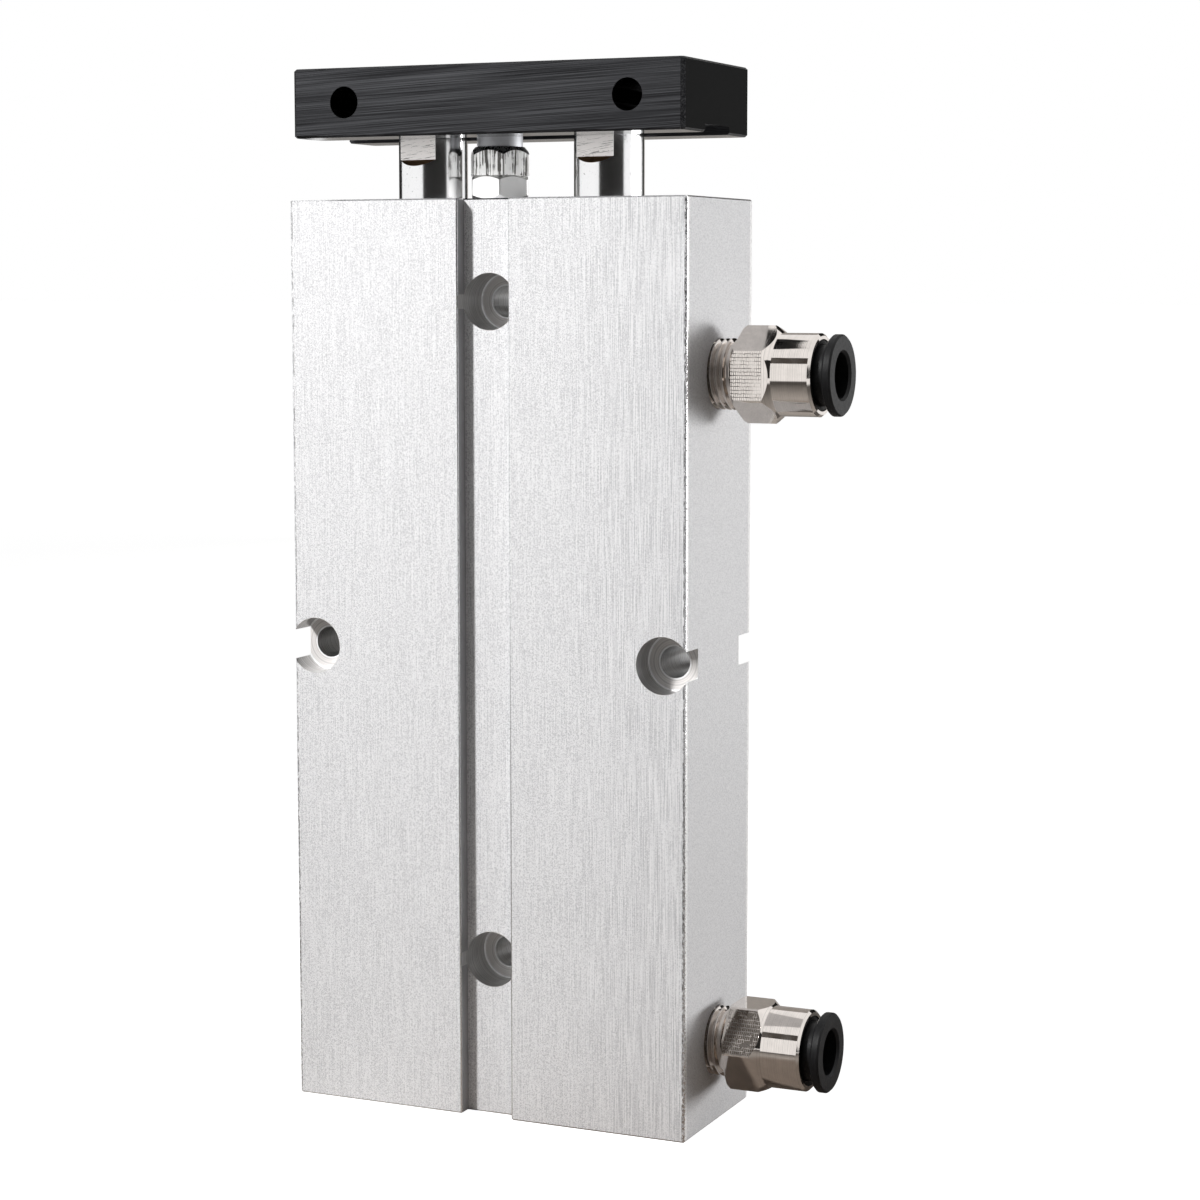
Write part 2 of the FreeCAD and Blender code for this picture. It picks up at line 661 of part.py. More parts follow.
def make_retaining_rings(label, z):
    """Two inside rings, each open to the front between lugs with plier holes."""
    ring = new_body(f"{label}_right")
    outer = f"2 * ({CLIP} - run_gap)"
    thick = "clip_slot - 2 * run_gap"
    reach = f"({SEAT} - run_gap - clip_lug / 2)"
    aside = "(clip_opening / 2 + clip_lug / 2)"
    lugs = [(f"{sign} * {aside}", f"-sqrt({reach} * {reach} - {aside} * {aside})") for sign in (1, -1)]
    sketch = new_sketch(ring, "XY_Plane")
    add_circle(sketch, "0", "0", outer)
    add_circle(sketch, "0", "0", f"{outer} - 2 * clip_width")
    pad(ring, sketch, thick)
    sketch = new_sketch(ring, "XY_Plane")
    half = "clip_opening / 2"
    beyond = minus(outer)
    add_rectangle(sketch, minus(half), beyond, half, "0")
    pocket(ring, sketch, thick, upward=True)
    sketch = new_sketch(ring, "XY_Plane")
    for x, y in lugs:
        add_circle(sketch, x, y, "clip_lug")
    pad(ring, sketch, thick)
    sketch = new_sketch(ring, "XY_Plane")
    for x, y in lugs:
        add_circle(sketch, x, y, "clip_eye")
    pocket(ring, sketch, thick, upward=True)
    place(ring, SIDES["right"], "0", f"{z} + run_gap")
    pair(label, ring)


def make_piston_nuts():
    bore = "tail_dia / 2 + seat_gap"
    corner = "piston_nut_corner / 2"
    face = "piston_nut_face / 2"
    nut = turned("piston_nuts_right", [
        (bore, "0"),
        (face, "0"),
        (corner, "piston_nut_bevel"),
        (corner, "piston_nut_thick - piston_nut_bevel"),
        (face, "piston_nut_thick"),
        (bore, "piston_nut_thick"),
    ])
    cut_hexagon(nut, "piston_nut_across", "piston_nut_thick", "0")
    place(nut, SIDES["right"], "0", NUT_BASE)
    pair("piston_nuts", nut)


def make_end_plate():
    plate = new_body("end_plate")
    wide = "plate_width / 2"
    deep = "plate_depth / 2"
    sketch = new_sketch(plate, "XY_Plane")
    add_rectangle(sketch, minus(wide), minus(deep), wide, deep)
    pad(plate, sketch, "plate_thick")
    dress(plate, "Chamfer", "Size", "plate_corner", upright_edge)
    dress(plate, "Chamfer", "Size", "plate_edge", level_edge)
    half = "plate_slot_width / 2"
    sketch = new_sketch(plate, "YZ_Plane")
    add_rectangle(sketch, minus(half), "-plate_thick", half, "plate_slot_depth")
    pocket_through(plate, sketch)
    sketch = new_sketch(plate, "XZ_Plane")
    for sign in (1, -1):
        add_circle(sketch, f"{sign} * plate_hole_pitch / 2", "plate_thick / 2", "plate_hole_dia")
    pocket_through(plate, sketch)
    sketch = new_sketch(plate, "XY_Plane")
    for x in SIDES.values():
        add_circle(sketch, x, "0", "screw_dia + 2 * wide_gap")
    add_circle(sketch, "-stop_offset", "0", "stop_dia + 2 * run_gap")
    pocket(plate, sketch, "plate_thick", upward=True)
    sketch = new_sketch(plate, "XY_Plane", "plate_thick")
    for x in SIDES.values():
        add_circle(sketch, x, "0", "screw_head_dia + 2 * wide_gap")
    pocket(plate, sketch, "screw_head_thick + screw_head_sink")
    place(plate, "0", "0", PLATE_BASE)


def make_plate_screws():
    """Socket head screws through the plate into the rods' ends."""
    grip = "plate_thick - plate_slot_depth - screw_head_thick - screw_head_sink"
    length = f"{grip} + screw_bite"
    top = f"{length} + screw_head_thick"
    shank = "screw_dia / 2"
    head = "screw_head_dia / 2"
    screw = turned("plate_screws_right", [
        ("0", "0"),
        (f"{shank} - tail_bevel", "0"),
        (shank, "tail_bevel"),
        (shank, length),
        (head, length),
        (head, f"{top} - tail_bevel"),
        (f"{head} - tail_bevel", top),
        ("0", top),
    ])
    sketch = new_sketch(screw, "XY_Plane", top)
    add_hexagon(sketch, "screw_socket")
    pocket(screw, sketch, "screw_socket_depth")
    place(screw, SIDES["right"], "0", f"{PLATE_BASE} + plate_slot_depth - screw_bite")
    pair("plate_screws", screw)


def make_stop():
    """The stop screw, head down on the barrel's end, and the lock nut that rests on its head."""
    shank = "stop_dia / 2"
    corner = "stop_corner / 2"
    face = "stop_bevel_dia / 2"
    top = "plate_lift - stop_gap + plate_thick - stop_sink"
    screw = turned("stop_screw", [
        ("0", "0"),
        (face, "0"),
        (corner, "stop_bevel"),
        (corner, "stop_head_thick - stop_bevel"),
        (face, "stop_head_thick"),
        (shank, "stop_head_thick"),
        (shank, f"{top} - stop_end_bevel"),
        (f"{shank} - stop_end_bevel", top),
        ("0", top),
    ])
    cut_hexagon(screw, "stop_across", "stop_head_thick", "head_turn")
    place(screw, "-stop_offset", "0", STOP_BASE)
    bore = f"{shank} + run_gap"
    nut = turned("lock_nut", [
        (bore, "0"),
        (corner, "0"),
        (corner, "lock_nut_thick - nut_bevel"),
        ("nut_bevel_dia / 2", "lock_nut_thick"),
        (bore, "lock_nut_thick"),
    ])
    cut_hexagon(nut, "stop_across", "lock_nut_thick", "nut_turn")
    place(nut, "-stop_offset", "0", f"{STOP_BASE} + stop_head_thick")


def make_fitting(level, show, turn, height):
    """A push-in fitting on the port axis: heights run outwards from the hexagon's inner end."""
    start = f"body_width / 2 + {show}"
    hex_end = "fit_hex_length"
    cone_end = f"{hex_end} + fit_cone"
    mouth = f"{cone_end} + fit_round_length"
    face_radius = "port_dia / 2 - run_gap"
    root = f"{face_radius} + thread_taper * ({show} - fit_neck)"
    tip = f"{face_radius} - thread_taper * (thread_length - {show})"
    corner = "fit_corner / 2"
    outer = "fit_round_dia / 2"
    bore = "socket_bore / 2"
    stop = "tube_seal_start - tube_stop_depth"
    body = turned(f"fitting_body_{level}", [
        ("fit_passage / 2", "-thread_length"),
        (tip, "-thread_length"),
        (root, "-fit_neck"),
        ("fit_neck_dia / 2", "-fit_neck"),
        ("fit_neck_dia / 2", "0"),
        (f"{corner} - fit_lip", "0"),
        (corner, "fit_lip"),
        (corner, hex_end),
        (outer, cone_end),
        (outer, f"{mouth} - fit_lip"),
        (f"{outer} - fit_lip", mouth),
        (bore, mouth),
        (bore, "grab_seat"),
        ("tube_seal_dia / 2", "grab_seat"),
        ("tube_seal_dia / 2", "tube_seal_start"),
        (TUBE, "tube_seal_start"),
        (TUBE, stop),
        ("fit_passage / 2", stop),
    ])
    cut_hexagon(body, "fit_across", cone_end, turn)
    seal_section = f"(tube_seal_dia / 2 - seat_gap - ({TUBE})) / 2"
    seal = doc.addObject("Part::Torus", f"tube_seal_{level}")
    seal.setExpression("Radius1", bound(f"{TUBE} + {seal_section}"))
    seal.setExpression("Radius2", bound(seal_section))
    keep(seal, f"tube_seal_{level}")
    grab = make_grab_ring(level)
    guide_end = f"{mouth} - guide_sink - grab_seat - grab_thick"
    guide = turned(f"tube_guide_{level}", [
        (f"{bore} - seat_gap", "0"),
        (f"{bore} - seat_gap", guide_end),
        (GUIDE_MOUTH, guide_end),
        (GUIDE_MOUTH, "guide_recess"),
        (f"{SLEEVE} + sleeve_bead + run_gap", "guide_recess"),
        (f"{SLEEVE} + sleeve_bead + run_gap", "0"),
    ])
    sleeve = make_release_sleeve(level, mouth)
    for piece, offset in (
        (body, "0"),
        (seal, f"tube_seal_start + {seal_section}"),
        (grab, "grab_seat"),
        (guide, "grab_seat + grab_thick"),
        (sleeve, SLEEVE_REST),
    ):
        place(piece, f"{start} + {offset}", "0", height, ALONG_X)


def make_grab_ring(level):
    """A thin ring whose rim is flat and whose slit teeth lean along the tube."""
    rim = "socket_bore / 2 - seat_gap"
    bend = f"{rim} - grab_rim"
    ring = turned(f"grab_ring_{level}", [
        (TUBE, "-grab_lean"),
        (bend, "0"),
        (rim, "0"),
        (rim, "grab_thick"),
        (bend, "grab_thick"),
        (TUBE, "grab_thick - grab_lean"),
    ])
    sketch = new_sketch(ring, "XY_Plane", "-grab_lean")
    half = "grab_slit / 2"
    add_rectangle(sketch, "0", minus(half), bend, half)
    slit = pocket(ring, sketch, "grab_lean + grab_thick", upward=True)
    before = ring.Shape.Volume
    pattern = ring.newObject("PartDesign::PolarPattern", "Slits")
    pattern.Originals = [slit]
    pattern.Axis = (next(item for item in ring.Origin.OriginFeatures if item.Role == "Z_Axis"), [""])
    pattern.Angle = 360
    pattern.setExpression("Occurrences", bound("grab_teeth"))
    ring.Tip = pattern
    check_cut(ring, pattern, before)
    return ring


def make_release_sleeve(level, mouth):
    bore = "sleeve_bore / 2"
    bead_end = "guide_recess - sleeve_start - run_gap"
    flange = f"{mouth} + sleeve_gap - ({SLEEVE_REST})"
    face = f"{flange} + flange_thick"
    rim = "flange_dia / 2"
    return turned(f"release_sleeve_{level}", [
        (bore, "0"),
        ("sleeve_nose_dia / 2", "0"),
        (SLEEVE, "sleeve_nose"),
        (SLEEVE, f"{bead_end} - sleeve_bead_length"),
        (f"{SLEEVE} + sleeve_bead", f"{bead_end} - sleeve_bead_length"),
        (f"{SLEEVE} + sleeve_bead", bead_end),
        (SLEEVE, bead_end),
        (SLEEVE, flange),
        (f"{rim} - flange_edge", flange),
        (rim, f"{flange} + flange_edge"),
        (rim, f"{face} - flange_edge"),
        (f"{rim} - flange_edge", face),
        (f"{bore} + mouth_bevel", face),
        (bore, f"{face} - mouth_bevel"),
    ])


def check_and_write():
    doc.recompute()
    for item in doc.Objects:
        if "Invalid" in item.State or "Error" in item.State:
            raise RuntimeError(f"{item.Name} failed: {item.State}")
    for piece in pieces:
        if piece.Shape.isNull() or not piece.Shape.isValid() or not piece.Shape.Solids:
            raise RuntimeError(f"{piece.Label} has no sound solid")
    os.makedirs("parts", exist_ok=True)
    for piece in pieces:
        piece.Shape.exportStep(f"parts/{piece.Label}.step")


make_barrel()
for side, x in SIDES.items():
    make_rear_end(side, x)
    make_rod(side, x)
    make_piston(side, x)
    make_rod_cover(side, x)
make_retaining_rings("rear_retaining_rings", "clip_inset")
make_retaining_rings("front_retaining_rings", FRONT_CLIP)
make_piston_nuts()
make_end_plate()
make_plate_screws()
make_stop()
make_fitting("upper", "upper_fit_show", "upper_fit_turn", FRONT_PORT)
make_fitting("lower", "lower_fit_show", "lower_fit_turn", REAR_PORT)
check_and_write()
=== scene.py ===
import json
import math

import bmesh
import bpy
from bpy.props import FloatProperty, FloatVectorProperty, PointerProperty
from mathutils import Matrix, Vector


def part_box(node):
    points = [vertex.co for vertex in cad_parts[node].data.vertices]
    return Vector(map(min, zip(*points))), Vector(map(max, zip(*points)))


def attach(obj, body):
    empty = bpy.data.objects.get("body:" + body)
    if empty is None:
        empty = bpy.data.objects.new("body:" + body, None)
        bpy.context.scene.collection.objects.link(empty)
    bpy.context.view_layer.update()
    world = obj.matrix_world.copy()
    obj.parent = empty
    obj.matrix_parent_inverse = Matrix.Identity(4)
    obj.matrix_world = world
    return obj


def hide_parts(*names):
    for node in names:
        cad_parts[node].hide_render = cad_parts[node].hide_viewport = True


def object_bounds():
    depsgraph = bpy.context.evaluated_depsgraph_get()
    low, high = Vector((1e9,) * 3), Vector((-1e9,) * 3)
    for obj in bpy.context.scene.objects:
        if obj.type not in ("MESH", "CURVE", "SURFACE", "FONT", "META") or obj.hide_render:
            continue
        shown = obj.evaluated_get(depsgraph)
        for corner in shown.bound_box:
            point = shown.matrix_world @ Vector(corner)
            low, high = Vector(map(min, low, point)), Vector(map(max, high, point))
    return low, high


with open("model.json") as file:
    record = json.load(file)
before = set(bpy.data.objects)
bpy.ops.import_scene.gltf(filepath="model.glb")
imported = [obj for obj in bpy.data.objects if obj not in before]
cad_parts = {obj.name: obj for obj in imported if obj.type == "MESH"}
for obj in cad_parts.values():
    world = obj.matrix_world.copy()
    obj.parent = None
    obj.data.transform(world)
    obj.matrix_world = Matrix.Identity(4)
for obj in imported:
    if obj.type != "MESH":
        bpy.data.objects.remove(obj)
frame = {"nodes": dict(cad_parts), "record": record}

bl_info = {
    "name": "Double rod cylinder",
    "version": (1, 0, 0),
    "blender": (4, 5, 0),
    "location": "View3D > Sidebar > Cylinder",
    "description": "Finishes the pieces of a double rod pneumatic cylinder and sets them in a small studio",
    "category": "Object",
}

CAD_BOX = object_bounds()
MIDDLE = (Vector(CAD_BOX[0]) + Vector(CAD_BOX[1])) / 2
MM = 0.001
MOUNTS = {mount["name"]: mount for mount in frame["record"]["mounts"]}
SLOT_OF = {part["node"]: part["material_slot"] for part in frame["record"]["subparts"]}
LEVELS = ("upper", "lower")
WHITE = (1.0, 1.0, 1.0)

# A face is square to an axis where its normal's part along that axis is above this.
SQUARE = 0.9
# Where most of a noise's values lie, and their middle.
NOISE_SPAN = (0.3, 0.7)
NOISE_MIDDLE = 0.5
# Distances in millimetres at which a point counts as on a face, on a hole's wall, and on a turned surface.
ON_FACE = 0.05
ON_WALL = 0.03
ON_TURNED = 0.02


def length(name, description, millimetres):
    return FloatProperty(
        name=name, description=description, default=millimetres * MM, unit="LENGTH", precision=5)


def share(name, description, default):
    return FloatProperty(
        name=name, description=description, default=default, min=0.0, max=1.0, subtype="FACTOR")


def colour(name, description, default):
    return FloatVectorProperty(
        name=name, description=description, default=default, min=0.0, max=1.0, size=3, subtype="COLOR")


def place(name, description, millimetres):
    return FloatVectorProperty(
        name=name, description=description, default=[value * MM for value in millimetres], size=3,
        subtype="TRANSLATION", unit="LENGTH", precision=5)


def watts(name, description, default):
    return FloatProperty(name=name, description=description, default=default, min=0.0, unit="POWER")


class BarrelLook(bpy.types.PropertyGroup):
    silver: colour("Silver", "Clear anodised aluminium", (0.93, 0.93, 0.94))
    shade: colour("Shade", "Darker tone of lines and grain", (0.60, 0.60, 0.615))
    # Painted shade: the narrow sides get a darker colour than the front, which sets off the painted
    # highlight strip beside the long edges.
    painted_side_shade: share("Side shade", "How much darker the narrow sides are", 0.35)
    # Painted shade: the slot's walls get a darker colour than the skin, standing in for the shade inside the
    # slot.
    slot_wall_shade: colour("Slot wall", "Drawn walls of the slot", (0.38, 0.38, 0.39))
    bored: colour("Bored", "Walls of the mounting holes", (0.80, 0.80, 0.80))
    milled: colour("Milled", "Floors of the counterbores", (0.88, 0.85, 0.83))
    metal: share("Metal", "How far the skin mirrors rather than scatters light", 0.18)
    roughness: share("Roughness", "Satin of the anodised skin", 0.55)
    rubbed_roughness: share("Rubbed roughness", "Polish of the rubbed edges", 0.2)
    bored_roughness: share("Bored roughness", "Polish of the holes' walls", 0.35)
    line_width: length("Line width", "Drawn lines along the extrusion", 0.09)
    line_length: length("Line length", "Drawn lines along the extrusion", 9.0)
    line_zone: length("Line zone", "Band beside the right edge where the lines gather", 22.0)
    grain: length("Grain", "Etched grain", 0.15)
    relief: length("Relief", "Height of the grain", 0.016)
    arc_width: length("Arc width", "Cutter's arcs on the milled ends", 0.45)
    lip: length("Lip", "Rounded lips of the slot, rubbed smooth", 0.25)
    slot_width: length("Slot width", "Mounting slot", 7.9)
    edge: length("Edge", "Rounded long edges, rubbed smooth", 0.35)
    end_edge: length("End edge", "Edges of the milled ends, rubbed smooth", 0.22)
    # Painted highlight: width of the bright strip painted on the sides beside the long edges, standing in
    # for light caught by the rounded edge.
    strip: length("Strip", "Burnished strip beside the long edges", 0.9)
    # Painted dark reflection: half the width of a dark line painted on the faces where the rounding starts,
    # standing in for the dark card that the rounded edge mirrors.
    dark_reflection_line: length("Crease", "Half the width of the broken dark line before the long edges", 0.08)
    head_radius: length("Counterbore", "Radius of the counterbores", 4.05)
    slot_head: length("Slot counterbore", "From the front to the counterbores' floors in the slot", 7.8)
    edge_head: length("Edge counterbore", "From the front to the counterbores' floors at the edges", 4.5)
    # Painted highlight: width of the white lines painted at a counterbore's corner and round its bolt hole's
    # mouth, standing in for light caught there.
    ring: length("Ring", "Bright turned line at a counterbore's corners", 0.2)
    turn_step: length("Turn step", "Tool marks in the mounting holes", 0.22)


class PlateLook(bpy.types.PropertyGroup):
    black: colour("Black", "Black anodised aluminium", (0.012, 0.012, 0.013))
    streak: colour("Streak", "Lighter brushed streaks", (0.060, 0.061, 0.065))
    # Painted shade: the ends get a far darker colour than the faces, standing in for the dark surroundings
    # that they mirror.
    end: colour("End", "Plain ends", (0.0015, 0.0016, 0.0016))
    edge: colour("Edge", "Rubbed edges", (0.13, 0.13, 0.135))
    roughness: share("Roughness", "Brushed faces", 0.42)
    end_roughness: share("End roughness", "Plain ends", 0.75)
    sheen: share("Sheen", "Smooth upper and lower faces", 0.14)
    streak_width: length("Streak width", "Brushed streaks", 0.10)
    streak_length: length("Streak length", "Brushed streaks", 24.0)
    relief: length("Relief", "Height of the streaks", 0.012)
    speck: length("Speck", "Rubbed specks on the upright corners", 0.28)
    corner: length("Corner", "Chamfer of the upright corners", 0.55)
    slant: FloatProperty(name="Slant", description="Rise of the streaks along the plate", default=0.045)


class RodLook(bpy.types.PropertyGroup):
    chrome: colour("Chrome", "Hard chrome of the rods", (0.90, 0.90, 0.905))
    milled: colour("Milled", "Bare steel of the wrench flats", (0.88, 0.85, 0.83))
    # Brown on the slope where the flats run out.
    runout_brown: colour("Rust", "Stain where the flats run out", (0.55, 0.33, 0.18))
    pit: colour("Pit", "Scratches and pits", (0.10, 0.095, 0.09))
    roughness: share("Roughness", "Polish of the chrome", 0.15)
    scuffed_roughness: share("Scuffed roughness", "Polish of the chrome where it is scuffed", 0.2)
    flat_roughness: share("Flat roughness", "Milled flats", 0.4)
    relief: length("Relief", "Depth of the cuts across the flats", 0.01)
    worn: length("Worn", "Length of rod below its end that spanners have scuffed", 15.0)
    slant: FloatProperty(name="Slant", description="Rise of the cuts across the flats", default=0.12)


class StopLook(bpy.types.PropertyGroup):
    plating: colour("Plating", "Bright plating of screw and nut", (0.93, 0.93, 0.92))
    scratch: colour("Scratch", "Drawn marks on the nut's flats", (0.13, 0.125, 0.12))
    thread: colour("Thread", "Dull thread of the screw", (0.78, 0.79, 0.82))
    thread_roughness: share("Thread roughness", "Dull thread of the screw", 0.6)
    mark_width: length("Mark width", "Drawn marks on the nut's flats", 0.26)
    mark_depth: length("Mark depth", "Drawn marks on the nut's flats", 0.012)
    cloud: length("Cloud", "Uneven patches of the plating", 1.5)
    thread_size: length("Thread size", "Diameter of the screw's thread", 6.6)
    thread_step: length("Thread step", "Tool marks along the screw's thread", 0.25)
    thread_relief: length("Thread relief", "Height of those marks", 0.02)


class FittingLook(bpy.types.PropertyGroup):
    nickel: colour("Nickel", "Nickel plated brass", (0.83, 0.775, 0.73))
    plastic: colour("Plastic", "Release sleeves and guides", (0.008, 0.008, 0.0085))
    plastic_gloss: share("Plastic gloss", "Specular level of sleeves and guides", 0.15)
    roughness: share("Roughness", "Polish of the plating", 0.06)
    milled_roughness: share("Milled roughness", "Cutter marks on the hexagons", 0.9)
    pitch: length("Pitch", "Taper thread", 0.907)
    depth: length("Depth", "Taper thread", 0.5)
    mill_step: length("Mill step", "Cutter marks across the hexagons", 0.29)
    feed_step: length("Feed step", "Cutter marks along the hexagons", 0.50)
    sway: length("Sway", "How far the cutter marks stray", 0.25)
    lathe_step: length("Lathe step", "Turned marks round the sockets", 0.12)
    lathe_relief: length("Lathe relief", "Height of the turned marks", 0.003)
    cloud: length("Cloud", "Uneven patches of the plating", 1.8)


class InnerLook(bpy.types.PropertyGroup):
    aluminium: colour("Aluminium", "Turned covers and pistons", (0.72, 0.72, 0.73))
    steel: colour("Steel", "Washers, nuts and grab rings", (0.60, 0.60, 0.60))
    black_steel: colour("Black steel", "Screws and retaining rings", (0.05, 0.05, 0.055))
    bronze: colour("Bronze", "Guide bushes", (0.55, 0.37, 0.19))
    magnet: colour("Magnet", "Ring magnets", (0.08, 0.08, 0.085))
    rubber: colour("Rubber", "Seals and O-rings", (0.015, 0.015, 0.015))
    bumper: colour("Bumper", "End of stroke bumpers", (0.055, 0.048, 0.042))


class StudioLook(bpy.types.PropertyGroup):
    camera: place("Camera", "Where the camera stands", (175.97, -364.73, 120.11))
    aim: FloatVectorProperty(
        name="Aim", description="Direction of view", default=(-0.40627, 0.90677, -0.11278), size=3,
        subtype="DIRECTION")
    lens: FloatProperty(
        name="Lens", description="Focal length in millimetres on a 36 mm sensor", default=83.7)
    ambient: FloatProperty(name="Ambient", description="Strength of the room's light", default=0.16)
    key: watts("Key", "Strip light at the left", 0.245)
    key_target: place("Key target", "Where the strip light points", (-12.0, 0.0, 105.0))
    fill: watts("Fill", "Softbox at the right", 5.8)
    floor: colour("Floor", "Table under the cylinder", (0.56, 0.525, 0.49))
    table: length("Table", "From the cylinder to the table's edge, where the white backdrop starts", 420.0)
    flag: colour("Flag", "Dark cards that metal reflects", (0.012, 0.011, 0.010))
    warm_flag: colour("Warm flag", "Brown card overhead", (0.16, 0.135, 0.115))
    pale_flag: colour("Pale flag", "Grey card behind", (0.80, 0.76, 0.72))
    pale_glow: share("Glow of the pale flag", "Light that shines through the grey card", 0.16)
    # Painted shadow: a darker colour on the table round a spot below the lower fitting, seen by light and in
    # the fittings' reflections.
    under: colour("Table below the fittings", "Reflected by the lower fitting", (0.29, 0.245, 0.21))
    painted_shadow_start: length("Start of the dark table", "Where it starts to fade", 25.0)
    painted_shadow_end: length("End of the dark table", "Where it has faded", 60.0)


class CylinderLook(bpy.types.PropertyGroup):
    barrel: PointerProperty(type=BarrelLook)
    plate: PointerProperty(type=PlateLook)
    rod: PointerProperty(type=RodLook)
    stop: PointerProperty(type=StopLook)
    fitting: PointerProperty(type=FittingLook)
    inner: PointerProperty(type=InnerLook)
    studio: PointerProperty(type=StudioLook)


class Nodes:
    """Short calls that add nodes to one tree. An input given as a socket is linked, any other is set."""

    def __init__(self, tree):
        self.tree = tree

    def add(self, kind, inputs=None, **settings):
        node = self.tree.nodes.new(kind)
        for name, value in settings.items():
            setattr(node, name, value)
        for name, value in (inputs or {}).items():
            self.feed(node.inputs[name], value)
        return node

    def feed(self, socket, value):
        if isinstance(value, bpy.types.NodeSocket):
            self.tree.links.new(value, socket)
        else:
            socket.default_value = value

    def math(self, operation, *values):
        inputs = dict(enumerate(values))
        return self.add("ShaderNodeMath", inputs, operation=operation).outputs[0]

    def above(self, value, limit):
        return self.math("GREATER_THAN", value, limit)

    def below(self, value, limit):
        return self.math("LESS_THAN", value, limit)

    def both(self, first, second):
        """Where both masks hold, or a value within a mask."""
        return self.math("MULTIPLY", first, second)

    def either(self, first, second):
        return self.math("MAXIMUM", first, second)

    def outside(self, mask):
        return self.math("SUBTRACT", 1.0, mask)

    def vector(self, operation, *values, output=0):
        inputs = dict(enumerate(values))
        return self.add("ShaderNodeVectorMath", inputs, operation=operation).outputs[output]

    def span(self, vector):
        """How long a vector is."""
        return self.vector("LENGTH", vector, output=1)

    def apart(self, first, second):
        """How far two points are from each other."""
        return self.vector("DISTANCE", first, second, output=1)

    def split(self, vector):
        return self.add("ShaderNodeSeparateXYZ", {0: vector}).outputs

    def join(self, x, y, z):
        return self.add("ShaderNodeCombineXYZ", {0: x, 1: y, 2: z}).outputs[0]

    def ramp(self, value, low, high, start=0.0, end=1.0):
        """Value from low to high, eased to run from start to end."""
        inputs = {"Value": value, "From Min": low, "From Max": high, "To Min": start, "To Max": end}
        return self.add("ShaderNodeMapRange", inputs, interpolation_type="SMOOTHSTEP").outputs[0]

    def mix(self, factor, first, second):
        """Two numbers mixed: the factor, first and second number are sockets 0, 2 and 3."""
        return self.add("ShaderNodeMix", {0: factor, 2: first, 3: second}).outputs[0]

    def blend(self, factor, first, second):
        """Two colours mixed: the factor, first and second colour are sockets 0, 6 and 7."""
        def rgba(value):
            return value if isinstance(value, bpy.types.NodeSocket) else (*value, 1.0)
        inputs = {0: factor, 6: rgba(first), 7: rgba(second)}
        return self.add("ShaderNodeMix", inputs, data_type="RGBA").outputs[2]

    def millimetres(self):
        """The point on the surface, in the object's own millimetres."""
        point = self.add("ShaderNodeTexCoord").outputs["Object"]
        inputs = {0: point, "Scale": 1 / MM}
        return self.add("ShaderNodeVectorMath", inputs, operation="SCALE").outputs[0]

    def normal(self):
        return self.add("ShaderNodeTexCoord").outputs["Normal"]

    def facing(self):
        """How far the surface faces along X, Y and Z, either way."""
        return [self.math("ABSOLUTE", part) for part in self.split(self.normal())]

    def noise(self, point, size, detail=2.0, roughness=0.5):
        """Noise whose lumps have the given size, in millimetres, or one for each direction."""
        sizes = size if isinstance(size, tuple) else (size, size, size)
        stretched = self.vector("MULTIPLY", point, tuple(1 / value for value in sizes))
        inputs = {"Vector": stretched, "Scale": 1.0, "Detail": detail, "Roughness": roughness}
        return self.add("ShaderNodeTexNoise", inputs).outputs[0]

    def bump(self, height, distance):
        """Height from 0 to 1 raises the surface by the given distance, in metres."""
        inputs = {"Height": height, "Distance": distance, "Strength": 1.0}
        return self.add("ShaderNodeBump", inputs).outputs[0]


def scaled(values, factor):
    """A darker or lighter colour, or a larger size."""
    return tuple(factor * value for value in values)


def new_finish(name, values=None):
    """A material, the calls that add nodes to it, and the inputs of its Principled shader."""
    material = bpy.data.materials.new(name)
    material.use_nodes = True
    nodes = Nodes(material.node_tree)
    shader = next(node for node in material.node_tree.nodes if node.type == "BSDF_PRINCIPLED")
    for socket, value in (values or {}).items():
        shader.inputs[socket].default_value = value
    return material, nodes, shader.inputs


def set_finish(material, *names):
    for name in names:
        mesh = frame["nodes"][name].data
        mesh.materials.clear()
        mesh.materials.append(material)


def nodes_in(*slots):
    return [node for node, slot in SLOT_OF.items() if slot in slots]


def hole_centres(name):
    """X and Z of a bolt pattern's holes on the +X half, in millimetres."""
    mount = MOUNTS[name]
    x, _, z = (value / MM for value in mount["pos_m"])
    along_x = mount["dims"].get("spacing_x_mm", 0.0) / 2
    along_z = mount["dims"].get("spacing_y_mm", 0.0) / 2
    return sorted({(x + along_x, z - along_z), (x + along_x, z + along_z)})


